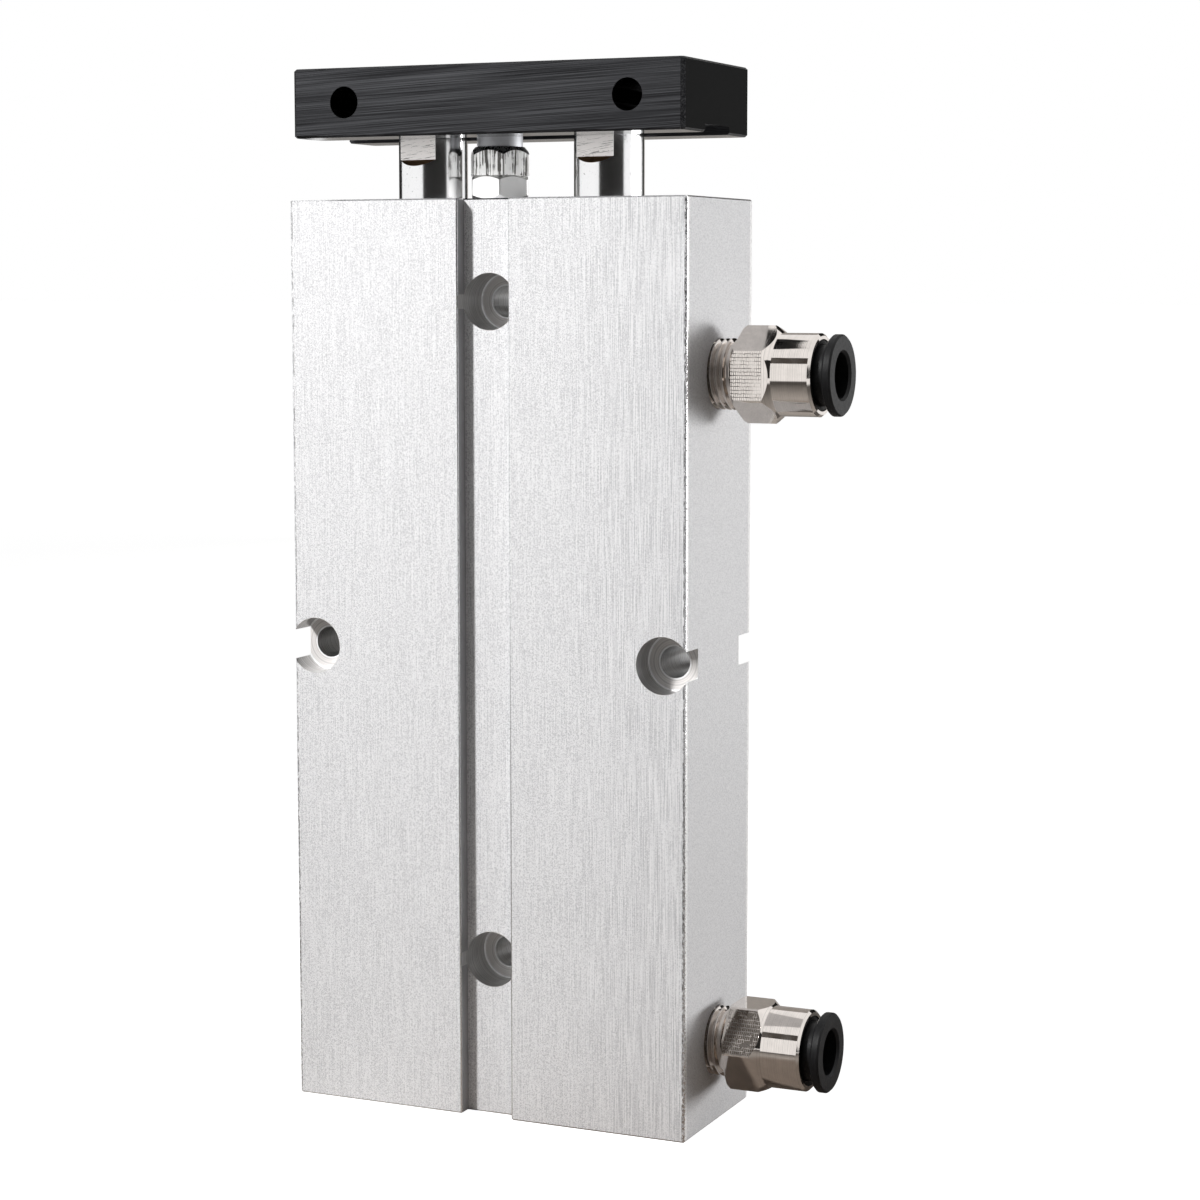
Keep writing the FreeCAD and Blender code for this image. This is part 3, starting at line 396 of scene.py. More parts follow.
def anodised_silver(look, box):
    """Etched grain with drawn hairlines along the extrusion, milled ends, smooth edges and bored holes."""
    material, nodes, shader = new_finish("anodised_silver")
    point = nodes.millimetres()
    x, y, z = nodes.split(point)
    beside = nodes.math("ABSOLUTE", x)
    half_width, half_depth, height = (value / MM for value in box[1])
    half_slot = look.slot_width / 2 / MM
    from_front = nodes.math("SUBTRACT", half_depth, nodes.math("ABSOLUTE", y))
    facing = nodes.facing()
    is_broad = nodes.above(facing[1], SQUARE)
    is_side = nodes.above(facing[0], SQUARE)
    is_end = nodes.ramp(facing[2], low=0.80, high=0.95)

    # Skin: grain and lines along the extrusion, the cutter's arcs on the ends.
    grain = nodes.noise(point, look.grain / MM, detail=2.0, roughness=0.6)
    line_size = (look.line_width / MM, look.line_width / MM, look.line_length / MM)
    lines = nodes.noise(point, line_size, detail=3.0, roughness=0.6)
    zone_start = half_width - look.line_zone / MM
    gathered = nodes.both(nodes.ramp(x, zone_start, half_width, start=0.5, end=1.8), is_broad)
    streaks = nodes.both(nodes.math("SUBTRACT", lines, NOISE_MIDDLE), gathered)
    stipple = nodes.ramp(grain, low=0.0, high=1.0, start=0.22, end=0.78)
    etched = nodes.math("ADD", stipple, streaks)
    from_spindle = (70.0, 45.0, 0.0)
    sweep = nodes.span(nodes.vector("ADD", point, from_spindle))
    arcs = nodes.noise(nodes.join(sweep, 0.0, 0.0), look.arc_width / MM, detail=3.0)
    tone = nodes.mix(is_end, etched, arcs)
    skin = nodes.blend(nodes.ramp(tone, low=0.38, high=0.58), look.shade, look.silver)
    # Painted shade: the narrow sides are darkened towards the shade colour.
    skin = nodes.blend(nodes.math("MULTIPLY", is_side, look.painted_side_shade), skin, look.shade)

    # Painted highlight: a bright strip on the sides beside the long edges. Painted dark reflection: a broken
    # dark line on the faces where the rounding starts. Painted shade: plain darker walls in the slot.
    strip = look.strip / MM
    on_highlight_strip = nodes.ramp(from_front, low=0.9 * strip, high=1.1 * strip, start=1.0, end=0.0)
    on_highlight_strip = nodes.both(on_highlight_strip, nodes.above(beside, half_width - ON_FACE))
    strip_highlight = nodes.blend(nodes.ramp(grain, low=0.38, high=0.46), look.shade, WHITE)
    skin = nodes.blend(on_highlight_strip, skin, strip_highlight)
    rounding = look.edge / MM
    inset = nodes.math("SUBTRACT", half_width - rounding, beside)
    # Painted dark reflection: a broken dark line on the faces where the long edges' rounding starts.
    dark_reflection_line = nodes.below(nodes.math("ABSOLUTE", inset), look.dark_reflection_line / MM)
    dark_reflection_line = nodes.both(dark_reflection_line, nodes.below(from_front, 2 * ON_FACE))
    broken = nodes.ramp(nodes.noise(point, size=(0.3, 0.3, 1.3), detail=3.0), low=0.44, high=0.54)
    skin = nodes.blend(nodes.both(dark_reflection_line, broken), skin, scaled(look.shade, factor=0.5))
    # Painted shade: the slot's walls are darkened.
    in_slot = nodes.both(nodes.below(beside, half_slot + ON_FACE), is_side)
    skin = nodes.blend(in_slot, skin, look.slot_wall_shade)

    # Edges rubbed down to the metal.
    lip = look.lip / MM
    long_edge = nodes.both(nodes.above(beside, half_width - rounding), nodes.below(from_front, rounding))
    flecks = nodes.ramp(nodes.noise(point, size=(0.25, 0.25, 0.4), detail=3.0), low=0.42, high=0.54)
    long_edge = nodes.both(long_edge, flecks)
    lip_edge = nodes.both(nodes.below(beside, half_slot + lip), nodes.below(from_front, lip))
    from_middle = nodes.math("ABSOLUTE", nodes.math("SUBTRACT", z, height / 2))
    end_edge = nodes.above(from_middle, height / 2 - look.end_edge / MM)
    end_edge = nodes.both(end_edge, nodes.outside(is_end))
    rubbed = nodes.either(nodes.either(long_edge, lip_edge), end_edge)

    # Mounting holes: turned walls and floors, with painted highlight lines at their corners and round the
    # bolt holes' mouths.
    flat_point = nodes.join(beside, 0.0, z)
    away = height
    for centre_x, centre_z in hole_centres("slot_holes") + hole_centres("edge_holes"):
        gap = nodes.apart(flat_point, (centre_x, 0.0, centre_z))
        away = nodes.math("MINIMUM", gap, away)
    head_radius = look.head_radius / MM
    in_head = nodes.below(away, head_radius + ON_WALL)
    in_hole = nodes.both(in_head, nodes.below(beside, half_width - ON_WALL))
    at_edge = nodes.above(beside, half_width / 2)
    floor_depth = nodes.mix(at_edge, look.slot_head / MM, look.edge_head / MM)
    above_floor = nodes.math("SUBTRACT", floor_depth, from_front)
    bolt_gap = nodes.math("SUBTRACT", away, MOUNTS["slot_holes"]["dims"]["hole_r_mm"])
    # Painted highlights: white lines round the bolt holes' mouths and at the counterbores' corners.
    ring = look.ring / MM
    on_floor = nodes.both(is_broad, in_hole)
    mouth_highlight = nodes.both(nodes.below(bolt_gap, ring), on_floor)
    corner_highlight = nodes.both(nodes.above(away, head_radius - ring), nodes.below(above_floor, ring))
    painted_highlights = nodes.either(mouth_highlight, corner_highlight)
    turn_point = nodes.join(0.0, nodes.math("ADD", y, away), 0.0)
    turns = nodes.ramp(nodes.noise(turn_point, look.turn_step / MM, detail=2.0), *NOISE_SPAN)
    wall = nodes.blend(turns, scaled(look.bored, factor=0.5), look.bored)
    floor = nodes.blend(turns, scaled(look.milled, factor=0.7), look.milled)
    bored = nodes.blend(painted_highlights, nodes.blend(is_broad, wall, floor), WHITE)
    nodes.feed(shader["Base Color"], nodes.blend(in_hole, skin, bored))

    uneven = 0.05
    satin = nodes.ramp(tone, *NOISE_SPAN, start=look.roughness + uneven, end=look.roughness - uneven)
    smooth = nodes.mix(rubbed, satin, look.rubbed_roughness)
    turned = nodes.math("SUBTRACT", in_hole, on_floor)
    nodes.feed(shader["Roughness"], nodes.mix(turned, smooth, look.bored_roughness))
    bare = nodes.either(rubbed, turned)
    nodes.feed(shader["Metallic"], nodes.ramp(bare, low=0.0, high=1.0, start=look.metal, end=1.0))
    nodes.feed(shader["Normal"], nodes.bump(tone, look.relief))
    return material


def brushed_black(look, box):
    """Black anodised plate: streaks on the broad faces, plain ends darkened with painted shade, smooth
    below, rubbed edges.
    """
    material, nodes, shader = new_finish("brushed_black", {"Metallic": 1.0})
    x, y, z = nodes.split(nodes.millimetres())
    tilt = nodes.math("SUBTRACT", z, nodes.math("MULTIPLY", x, look.slant))
    point = nodes.join(x, y, tilt)
    size = (look.streak_length / MM, look.streak_width / MM, look.streak_width / MM)
    streaks = nodes.noise(point, size, detail=3.0, roughness=0.6)
    clouds = nodes.noise(point, scaled(size, factor=5), detail=2.0)
    cloud_share = 0.25
    tone = nodes.mix(cloud_share, streaks, clouds)
    facing = nodes.facing()
    is_side = nodes.above(facing[0], SQUARE)
    is_level = nodes.above(facing[2], SQUARE)
    faces = nodes.blend(nodes.ramp(tone, low=0.40, high=0.64), look.black, look.streak)
    # Painted shade: the ends are darker than the faces.
    plain = nodes.blend(is_side, faces, look.end)
    corner = look.corner / MM
    half_width, half_depth, _ = (value / MM for value in box[1])
    across = nodes.math("SUBTRACT", nodes.math("ABSOLUTE", x), half_width - corner)
    along = nodes.math("SUBTRACT", nodes.math("ABSOLUTE", y), half_depth - corner)
    clear = 0.01
    on_corner = nodes.both(nodes.above(across, clear), nodes.above(along, clear))
    specks = nodes.noise(point, look.speck / MM, detail=3.0, roughness=0.7)
    specks = nodes.ramp(specks, low=0.50, high=0.66)
    border = nodes.ramp(across, low=0.75 * corner, high=0.98 * corner, start=0.35, end=1.0)
    rubbed = nodes.both(on_corner, nodes.both(specks, border))
    nodes.feed(shader["Base Color"], nodes.blend(rubbed, plain, look.edge))
    uneven = 0.08
    brushed = nodes.ramp(tone, *NOISE_SPAN, start=look.roughness + uneven, end=look.roughness - uneven)
    dull = nodes.mix(is_side, brushed, look.end_roughness)
    nodes.feed(shader["Roughness"], nodes.mix(is_level, dull, look.sheen))
    ridges = nodes.both(streaks, nodes.outside(is_level))
    nodes.feed(shader["Normal"], nodes.bump(ridges, look.relief))
    return material


def hard_chrome(look, pitch, radius, end):
    """Polished rods, pitted near the end. Where the rod is milled away, its bare steel shows."""
    material, nodes, shader = new_finish("hard_chrome", {"Metallic": 1.0})
    point = nodes.millimetres()
    x, y, z = nodes.split(point)
    from_axis = nodes.join(nodes.math("SUBTRACT", nodes.math("ABSOLUTE", x), pitch / 2), y, 0.0)
    inside = nodes.below(nodes.span(from_axis), radius - ON_TURNED)
    slanted = nodes.join(x, y, nodes.math("SUBTRACT", z, nodes.math("MULTIPLY", x, look.slant)))
    cuts = nodes.noise(slanted, size=(2.6, 2.6, 0.13), detail=3.0, roughness=0.65)
    pits = nodes.ramp(nodes.noise(point, size=(0.34, 0.34, 0.26), detail=2.0), low=0.70, high=0.74)
    worn = look.worn / MM
    near_end = nodes.ramp(z, low=end - worn, high=end - 0.6 * worn)
    scuffs = nodes.noise(point, size=(0.5, 0.5, 1.4), detail=5.0, roughness=0.7)
    scuffs = nodes.ramp(scuffs, low=0.60, high=0.70)
    clear_of_cuts = nodes.ramp(cuts, low=0.36, high=0.44)
    clean = nodes.blend(clear_of_cuts, scaled(look.milled, factor=0.3), look.milled)
    slope = nodes.facing()[2]
    # Brown on the slope where the flats run out, chosen by how far the surface faces up or down.
    clean = nodes.blend(nodes.ramp(slope, low=0.15, high=0.3), clean, look.runout_brown)
    chrome = nodes.blend(scuffs, look.chrome, scaled(look.chrome, factor=0.93))
    metal = nodes.blend(inside, chrome, clean)
    nodes.feed(shader["Base Color"], nodes.blend(nodes.both(pits, near_end), metal, look.pit))
    polish = nodes.ramp(scuffs, low=0.0, high=1.0, start=look.roughness, end=look.scuffed_roughness)
    nodes.feed(shader["Roughness"], nodes.mix(inside, polish, look.flat_roughness))
    nodes.feed(shader["Normal"], nodes.bump(nodes.both(cuts, inside), look.relief))
    return material


def drawn_plating(look):
    """Plated nut with drawn marks down its flats."""
    material, nodes, shader = new_finish("drawn_plating", {"Metallic": 1.0})
    point = nodes.millimetres()
    width = look.mark_width / MM
    marks = nodes.noise(point, size=(width, width, 30 * width), detail=3.0, roughness=0.6)
    clouds = nodes.noise(point, look.cloud / MM, detail=3.0)
    cloud_share = 0.5
    patches = nodes.math("MULTIPLY", nodes.math("SUBTRACT", clouds, NOISE_MIDDLE), cloud_share)
    depth = nodes.math("ADD", marks, patches)
    clean = nodes.ramp(depth, low=0.41, high=0.47)
    nodes.feed(shader["Base Color"], nodes.blend(clean, look.scratch, look.plating))
    nodes.feed(shader["Roughness"], nodes.ramp(marks, *NOISE_SPAN, start=0.45, end=0.28))
    nodes.feed(shader["Normal"], nodes.bump(marks, look.mark_depth))
    return material


def bright_plating(look, centre):
    """Smooth plated head on a dull thread."""
    material, nodes, shader = new_finish("bright_plating", {"Metallic": 1.0})
    point = nodes.millimetres()
    x, y, z = nodes.split(nodes.vector("SUBTRACT", point, tuple(centre / MM)))
    reach = nodes.span(nodes.join(x, y, 0.0))
    is_thread = nodes.below(reach, look.thread_size / 2 / MM + ON_TURNED)
    clouds = nodes.noise(point, look.cloud / MM, detail=3.0)
    turns = nodes.noise(nodes.join(0.0, 0.0, z), look.thread_step / MM, detail=2.0)
    dull = nodes.blend(turns, scaled(look.thread, factor=0.7), look.thread)
    nodes.feed(shader["Base Color"], nodes.blend(is_thread, look.plating, dull))
    polish = nodes.ramp(clouds, *NOISE_SPAN, start=0.38, end=0.46)
    nodes.feed(shader["Roughness"], nodes.mix(is_thread, polish, look.thread_roughness))
    nodes.feed(shader["Normal"], nodes.bump(nodes.both(turns, is_thread), look.thread_relief))
    return material


def nickel_plating(look, hexagons):
    """Plated brass: turned marks round the sockets and a fine milled grid on the hexagons' flats."""
    material, nodes, shader = new_finish("nickel_plating", {"Metallic": 1.0})
    point = nodes.millimetres()
    x, _, z = nodes.split(point)
    turned = nodes.noise(nodes.join(x, 0.0, 0.0), look.lathe_step / MM, detail=2.0)
    clouds = nodes.noise(point, look.cloud / MM, detail=4.0, roughness=0.6)
    waver = nodes.math("MULTIPLY", nodes.noise(point, size=0.6), look.sway / MM)

    def wave(distance, step):
        angle = nodes.math("MULTIPLY", nodes.math("ADD", distance, waver), 2 * math.pi * MM / step)
        return nodes.math("SINE", angle)

    ribs = nodes.ramp(wave(x, look.mill_step), low=0.45, high=0.95)
    rows = nodes.ramp(wave(z, look.feed_step), low=0.7, high=0.97)
    on_hexagon = 0.0
    for start, end in hexagons:
        within = nodes.both(nodes.above(x, start), nodes.below(x, end))
        on_hexagon = nodes.either(within, on_hexagon)
    off_hexagon = nodes.outside(on_hexagon)
    _, forward, upward = nodes.split(nodes.normal())
    least_forward = 0.8
    least_upward = -0.2
    upright = nodes.above(nodes.math("ABSOLUTE", forward), least_forward)
    upright = nodes.both(upright, nodes.above(upward, least_upward))
    grid = nodes.both(nodes.either(ribs, rows), nodes.both(on_hexagon, upright))
    grid = nodes.both(grid, nodes.ramp(clouds, low=0.30, high=0.60, start=0.2, end=1.0))
    tone = nodes.ramp(clouds, *NOISE_SPAN)
    plated = nodes.blend(tone, scaled(look.nickel, factor=0.9), look.nickel)
    lathe = nodes.both(nodes.ramp(turned, low=0.55, high=0.35), off_hexagon)
    lathe_share = 0.5
    lathe = nodes.math("MULTIPLY", lathe, lathe_share)
    plated = nodes.blend(lathe, plated, scaled(look.nickel, factor=0.6))
    nodes.feed(shader["Base Color"], nodes.blend(grid, plated, scaled(look.nickel, factor=0.30)))
    uneven = 0.015
    polish = nodes.ramp(clouds, *NOISE_SPAN, start=look.roughness + uneven, end=look.roughness - uneven)
    faint_mark = 0.4
    milled = nodes.above(grid, faint_mark)
    nodes.feed(shader["Roughness"], nodes.mix(milled, polish, look.milled_roughness))
    nodes.feed(shader["Normal"], nodes.bump(nodes.both(turned, off_hexagon), look.lathe_relief))
    return material


def moulded(name, tint, roughness, grain, gloss=0.5):
    """Plastic or rubber from a mould: a fine skin with slightly uneven gloss. Grain in millimetres."""
    material, nodes, shader = new_finish(name, {"Specular IOR Level": gloss})
    point = nodes.millimetres()
    skin = nodes.noise(point, grain, detail=3.0)
    patches = nodes.noise(point, 6 * grain, detail=2.0)
    nodes.feed(shader["Base Color"], nodes.blend(patches, tint, scaled(tint, factor=1.5)))
    uneven = 0.06
    gloss_map = nodes.ramp(patches, *NOISE_SPAN, start=roughness - uneven, end=roughness + uneven)
    nodes.feed(shader["Roughness"], gloss_map)
    skin_depth = 0.02 * MM
    nodes.feed(shader["Normal"], nodes.bump(skin, skin_depth))
    return material


def turned_metal(name, tint, roughness, groove):
    """Metal from a lathe, with fine uneven tool marks. Groove in millimetres."""
    material, nodes, shader = new_finish(name, {"Metallic": 1.0})
    marks = nodes.noise(nodes.millimetres(), groove, detail=3.0, roughness=0.6)
    nodes.feed(shader["Base Color"], nodes.blend(marks, scaled(tint, factor=0.75), tint))
    smoother = 0.06
    rougher = 0.08
    gloss_map = nodes.ramp(marks, *NOISE_SPAN, start=roughness - smoother, end=roughness + rougher)
    nodes.feed(shader["Roughness"], gloss_map)
    mark_depth = 0.01 * MM
    nodes.feed(shader["Normal"], nodes.bump(marks, mark_depth))
    return material


def thread_tree(material):
    """A ridge wound on a core that may taper, run out at both ends."""
    points_per_turn = 72
    root_share = 0.46
    crest_share = 0.09
    sunk_share = -0.1
    run_out_turns = 0.4
    run_out_size = 0.05
    tree = bpy.data.node_groups.new("thread", "GeometryNodeTree")
    sizes = ("Start Radius", "End Radius", "Length", "Pitch", "Depth")
    for name in sizes:
        tree.interface.new_socket(name, in_out="INPUT", socket_type="NodeSocketFloat")
    tree.interface.new_socket("Geometry", in_out="OUTPUT", socket_type="NodeSocketGeometry")
    nodes = Nodes(tree)
    start, end, run, pitch, depth = nodes.add("NodeGroupInput").outputs[:len(sizes)]
    rotations = nodes.math("DIVIDE", run, pitch)
    helix = nodes.add("GeometryNodeCurveSpiral", {
        "Resolution": points_per_turn,
        "Rotations": rotations,
        "Start Radius": start,
        "End Radius": end,
        "Height": run,
        "Reverse": True,
    }).outputs[0]
    upright = nodes.add("GeometryNodeSetCurveNormal", {0: helix}, mode="Z_UP").outputs[0]
    root = nodes.math("MULTIPLY", pitch, root_share)
    crest = nodes.math("MULTIPLY", pitch, crest_share)
    sunk = nodes.math("MULTIPLY", depth, sunk_share)
    section = nodes.add("GeometryNodeCurvePrimitiveQuadrilateral", {
        "Point 1": nodes.join(sunk, root, 0.0),
        "Point 2": nodes.join(depth, crest, 0.0),
        "Point 3": nodes.join(depth, nodes.math("MULTIPLY", crest, -1.0), 0.0),
        "Point 4": nodes.join(sunk, nodes.math("MULTIPLY", root, -1.0), 0.0),
    }, mode="POINTS").outputs[0]
    along = nodes.add("GeometryNodeSplineParameter").outputs["Factor"]
    from_end = nodes.math("MINIMUM", along, nodes.outside(along))
    turns = nodes.math("MULTIPLY", from_end, rotations)
    fade = {"Value": turns, "From Max": run_out_turns, "To Min": run_out_size}
    ridge = nodes.add("GeometryNodeCurveToMesh", {
        "Curve": upright,
        "Profile Curve": section,
        "Scale": nodes.add("ShaderNodeMapRange", fade).outputs[0],
        "Fill Caps": True,
    }).outputs[0]
    real = nodes.add("GeometryNodeRealizeInstances", {0: ridge}).outputs[0]
    finished = nodes.add("GeometryNodeSetMaterial", {"Geometry": real, "Material": material}).outputs[0]
    nodes.add("NodeGroupOutput", {0: finished})
    return tree


def new_piece(name, mesh, body):
    piece = bpy.data.objects.new(name, mesh)
    bpy.context.scene.collection.objects.link(piece)
    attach(piece, body)
    return piece


def wind_thread(name, tree, sizes, where, body):
    """The tree's result as a plain mesh, set where the matrix says."""
    carrier = bpy.data.objects.new(f"{name}_carrier", bpy.data.meshes.new(f"{name}_carrier"))
    bpy.context.scene.collection.objects.link(carrier)
    modifier = carrier.modifiers.new("Thread", "NODES")
    modifier.node_group = tree
    for item in tree.interface.items_tree:
        if item.in_out == "INPUT":
            modifier[item.identifier] = float(sizes[item.name])
    graph = bpy.context.evaluated_depsgraph_get()
    mesh = bpy.data.meshes.new_from_object(carrier.evaluated_get(graph))
    bpy.data.objects.remove(carrier)
    mesh.transform(where)
    outward(mesh)
    return new_piece(name, mesh, body)


def outward(mesh):
    """Merged, facing outwards, smooth except at its sharp edges."""
    merge_distance = 1e-7
    sharp_angle = math.radians(18)
    if mesh.has_custom_normals:
        mesh.attributes.remove(mesh.attributes["custom_normal"])
    shape = bmesh.new()
    shape.from_mesh(mesh)
    bmesh.ops.remove_doubles(shape, verts=shape.verts, dist=merge_distance)
    bmesh.ops.recalc_face_normals(shape, faces=shape.faces)
    shape.to_mesh(mesh)
    shape.free()
    mesh.shade_smooth()
    mesh.set_sharp_from_angle(angle=sharp_angle)


def slimmed_copy(node, name, material, chosen, centre, axis, depth, body):
    """A merged copy of a node whose plain thread is turned down to the thread's core."""
    mesh = frame["nodes"][node].data.copy()
    for vertex in mesh.vertices:
        if chosen(vertex.co):
            arm = vertex.co - centre
            arm -= axis * arm.dot(axis)
            vertex.co -= arm.normalized() * depth
    outward(mesh)
    mesh.materials.clear()
    mesh.materials.append(material)
    piece = new_piece(name, mesh, body)
    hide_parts(node)
    return piece


class CYLINDER_OT_barrel(bpy.types.Operator):
    """Gives the barrel its anodised finish"""
    bl_idname = "cylinder.barrel"
    bl_label = "Barrel"

    def execute(self, context):
        set_finish(anodised_silver(context.scene.cylinder_look.barrel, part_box("barrel")), "barrel")
        return {"FINISHED"}


class CYLINDER_OT_plate(bpy.types.Operator):
    """Gives the end plate its brushed black finish"""
    bl_idname = "cylinder.plate"
    bl_label = "End plate"

    def execute(self, context):
        set_finish(brushed_black(context.scene.cylinder_look.plate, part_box("end_plate")), "end_plate")
        return {"FINISHED"}


class CYLINDER_OT_rods(bpy.types.Operator):
    """Gives the piston rods their chrome and their milled flats"""
    bl_idname = "cylinder.rods"
    bl_label = "Rods"

    def execute(self, context):
        low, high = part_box("piston_rod_right")
        pitch = (low.x + high.x) / MM
        radius = (high.x - low.x) / 2 / MM
        finish = hard_chrome(context.scene.cylinder_look.rod, pitch, radius, high.z / MM)
        set_finish(finish, *nodes_in("rod_chrome"))
        return {"FINISHED"}


class CYLINDER_OT_stop(bpy.types.Operator):
    """Plates the stop screw and its lock nut"""
    bl_idname = "cylinder.stop"
    bl_label = "Stop screw"

    def execute(self, context):
        look = context.scene.cylinder_look.stop
        low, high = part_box("lock_nut")
        set_finish(drawn_plating(look), "lock_nut")
        set_finish(bright_plating(look, (low + high) / 2), "stop_screw")
        return {"FINISHED"}


class CYLINDER_OT_fittings(bpy.types.Operator):
    """Makes the push-in fittings with their taper threads, sleeves and guides"""
    bl_idname = "cylinder.fittings"
    bl_label = "Fittings"

    def execute(self, context):
        look = context.scene.cylinder_look.fitting
        axis = Vector((1.0, 0.0, 0.0))
        along_x = Matrix.Rotation(math.radians(90), 4, "Y")
        run_slack = 0.01
        shapes = {level: self.measure(level) for level in LEVELS}
        finish = nickel_plating(look, [shape["hexagon"] for shape in shapes.values()])
        tree = thread_tree(finish)
        for level, shape in shapes.items():
            node = f"fitting_body_{level}"
            centre = shape["centre"]
            (start, start_radius), (end, end_radius) = shape["thread"]

            def on_thread(point):
                part = (point.x - start) / (end - start)
                radius = start_radius + part * (end_radius - start_radius)
                off = abs((point - centre).yz.length - radius)
                return -run_slack < part < 1 + run_slack and off < ON_TURNED * MM

            slimmed_copy(node, f"fitting_{level}", finish, on_thread, centre, axis, look.depth, "base")
            sizes = {
                "Start Radius": start_radius - look.depth,
                "End Radius": end_radius - look.depth,
                "Length": end - start,
                "Pitch": look.pitch,
                "Depth": look.depth,
            }
            where = Matrix.Translation((start, centre.y, centre.z)) @ along_x
            wind_thread(f"fitting_thread_{level}", tree, sizes, where, "base")
        gloss = look.plastic_gloss
        plastic = moulded("black_acetal", look.plastic, roughness=0.42, grain=0.12, gloss=gloss)
        set_finish(plastic, *nodes_in("black_plastic"))
        return {"FINISHED"}

    @staticmethod
    def measure(level):
        """Axis, the plain thread's two ends and the hexagon's span, read from the node's own points."""
        same_place = 1e-6
        same_radius = 0.01 * MM
        thread_rise = 0.5 * MM
        socket = Vector(MOUNTS[f"tube_socket_{level}"]["pos_m"])
        centre = Vector((0.0, socket.y, socket.z))
        vertices = frame["nodes"][f"fitting_body_{level}"].data.vertices
        points = [(vertex.co.x, (vertex.co - centre).yz.length) for vertex in vertices]
        digits = 6
        stations = sorted({round(x, digits) for x, _ in points})
        widest = {x: max(radius for px, radius in points if abs(px - x) < same_place) for x in stations}
        tip = stations[0]
        hexagon = [x for x in stations if widest[x] > max(widest.values()) - same_radius]
        thread = [x for x in stations if widest[x] < widest[tip] + thread_rise and x < hexagon[0]]
        end = max(thread, key=widest.get)
        return {
            "centre": centre,
            "thread": ((tip, widest[tip]), (end, widest[end])),
            "hexagon": (hexagon[0] / MM, hexagon[-1] / MM),
        }


class CYLINDER_OT_inner(bpy.types.Operator):
    """Gives the covers, seals, pistons, screws and rings their finishes"""
    bl_idname = "cylinder.inner"
    bl_label = "Inner pieces"

    def execute(self, context):
        look = context.scene.cylinder_look.inner
        finishes = {
            "inner_aluminium": turned_metal("turned_aluminium", look.aluminium, roughness=0.30, groove=0.25),
            "inner_steel": turned_metal("turned_steel", look.steel, roughness=0.28, groove=0.20),
            "spring_steel": turned_metal("spring_strip", look.steel, roughness=0.22, groove=0.35),
            "black_steel": turned_metal("black_oxide", look.black_steel, roughness=0.42, groove=0.30),
            "bearing_bronze": turned_metal("sintered_bronze", look.bronze, roughness=0.45, groove=0.15),
            "magnet_grey": turned_metal("sintered_magnet", look.magnet, roughness=0.5, groove=0.2),
            "black_rubber": moulded("seal_rubber", look.rubber, roughness=0.52, grain=0.2),
            "bumper_rubber": moulded("bumper_rubber", look.bumper, roughness=0.58, grain=0.25),
        }
        for slot, finish in finishes.items():
            set_finish(finish, *nodes_in(slot))
        return {"FINISHED"}


def polar(azimuth, elevation, distance):
    """A point seen from the middle of the cylinder: azimuth runs from the front face towards the ports."""
    turn = math.radians(azimuth)
    rise = math.radians(elevation)
    flat = Vector((math.sin(turn), -math.cos(turn), 0.0)) * math.cos(rise)
    return (flat + Vector((0.0, 0.0, math.sin(rise)))) * distance + MIDDLE


def add_lamp(name, power, where, target, width, height, spread=180):
    """A rectangular lamp that points at the target. Spread in degrees."""
    lamp = bpy.data.lights.new(name, "AREA")
    lamp.spread = math.radians(spread)
    lamp.energy = power
    lamp.shape = "RECTANGLE"
    lamp.size = width
    lamp.size_y = height
    holder = bpy.data.objects.new(name, lamp)
    holder.location = where
    holder.rotation_euler = (Vector(target) - where).to_track_quat("-Z", "Y").to_euler()
    bpy.context.scene.collection.objects.link(holder)


def flat_sheet(name, material, half_size):
    """A level square, as an object of the scene."""
    shape = bmesh.new()
    bmesh.ops.create_grid(shape, x_segments=1, y_segments=1, size=half_size)
    mesh = bpy.data.meshes.new(name)
    shape.to_mesh(mesh)
    shape.free()
    mesh.materials.append(material)
    sheet = bpy.data.objects.new(name, mesh)
    bpy.context.scene.collection.objects.link(sheet)
    return sheet


def card_finish(name, tint, glow=0.0):
    """A matt card, or one that lets a little light through."""
    rgba = (*tint, 1.0)
    values = {"Base Color": rgba, "Roughness": 0.9, "Emission Color": rgba, "Emission Strength": glow}
    material, _, _ = new_finish(name, values)
    return material


def add_card(name, material, azimuth, elevation, width, height):
    """An upright or overhead card that faces the cylinder and is unseen by the camera."""
    distance = 0.85
    where = polar(azimuth, elevation, distance)
    card = flat_sheet(name, material, half_size=0.5)
    facing = (MIDDLE - where).to_track_quat("Z", "Y").to_matrix().to_4x4()
    card.matrix_world = Matrix.Translation(where) @ facing @ Matrix.Diagonal((width, height, 1.0, 1.0))
    card.visible_camera = False


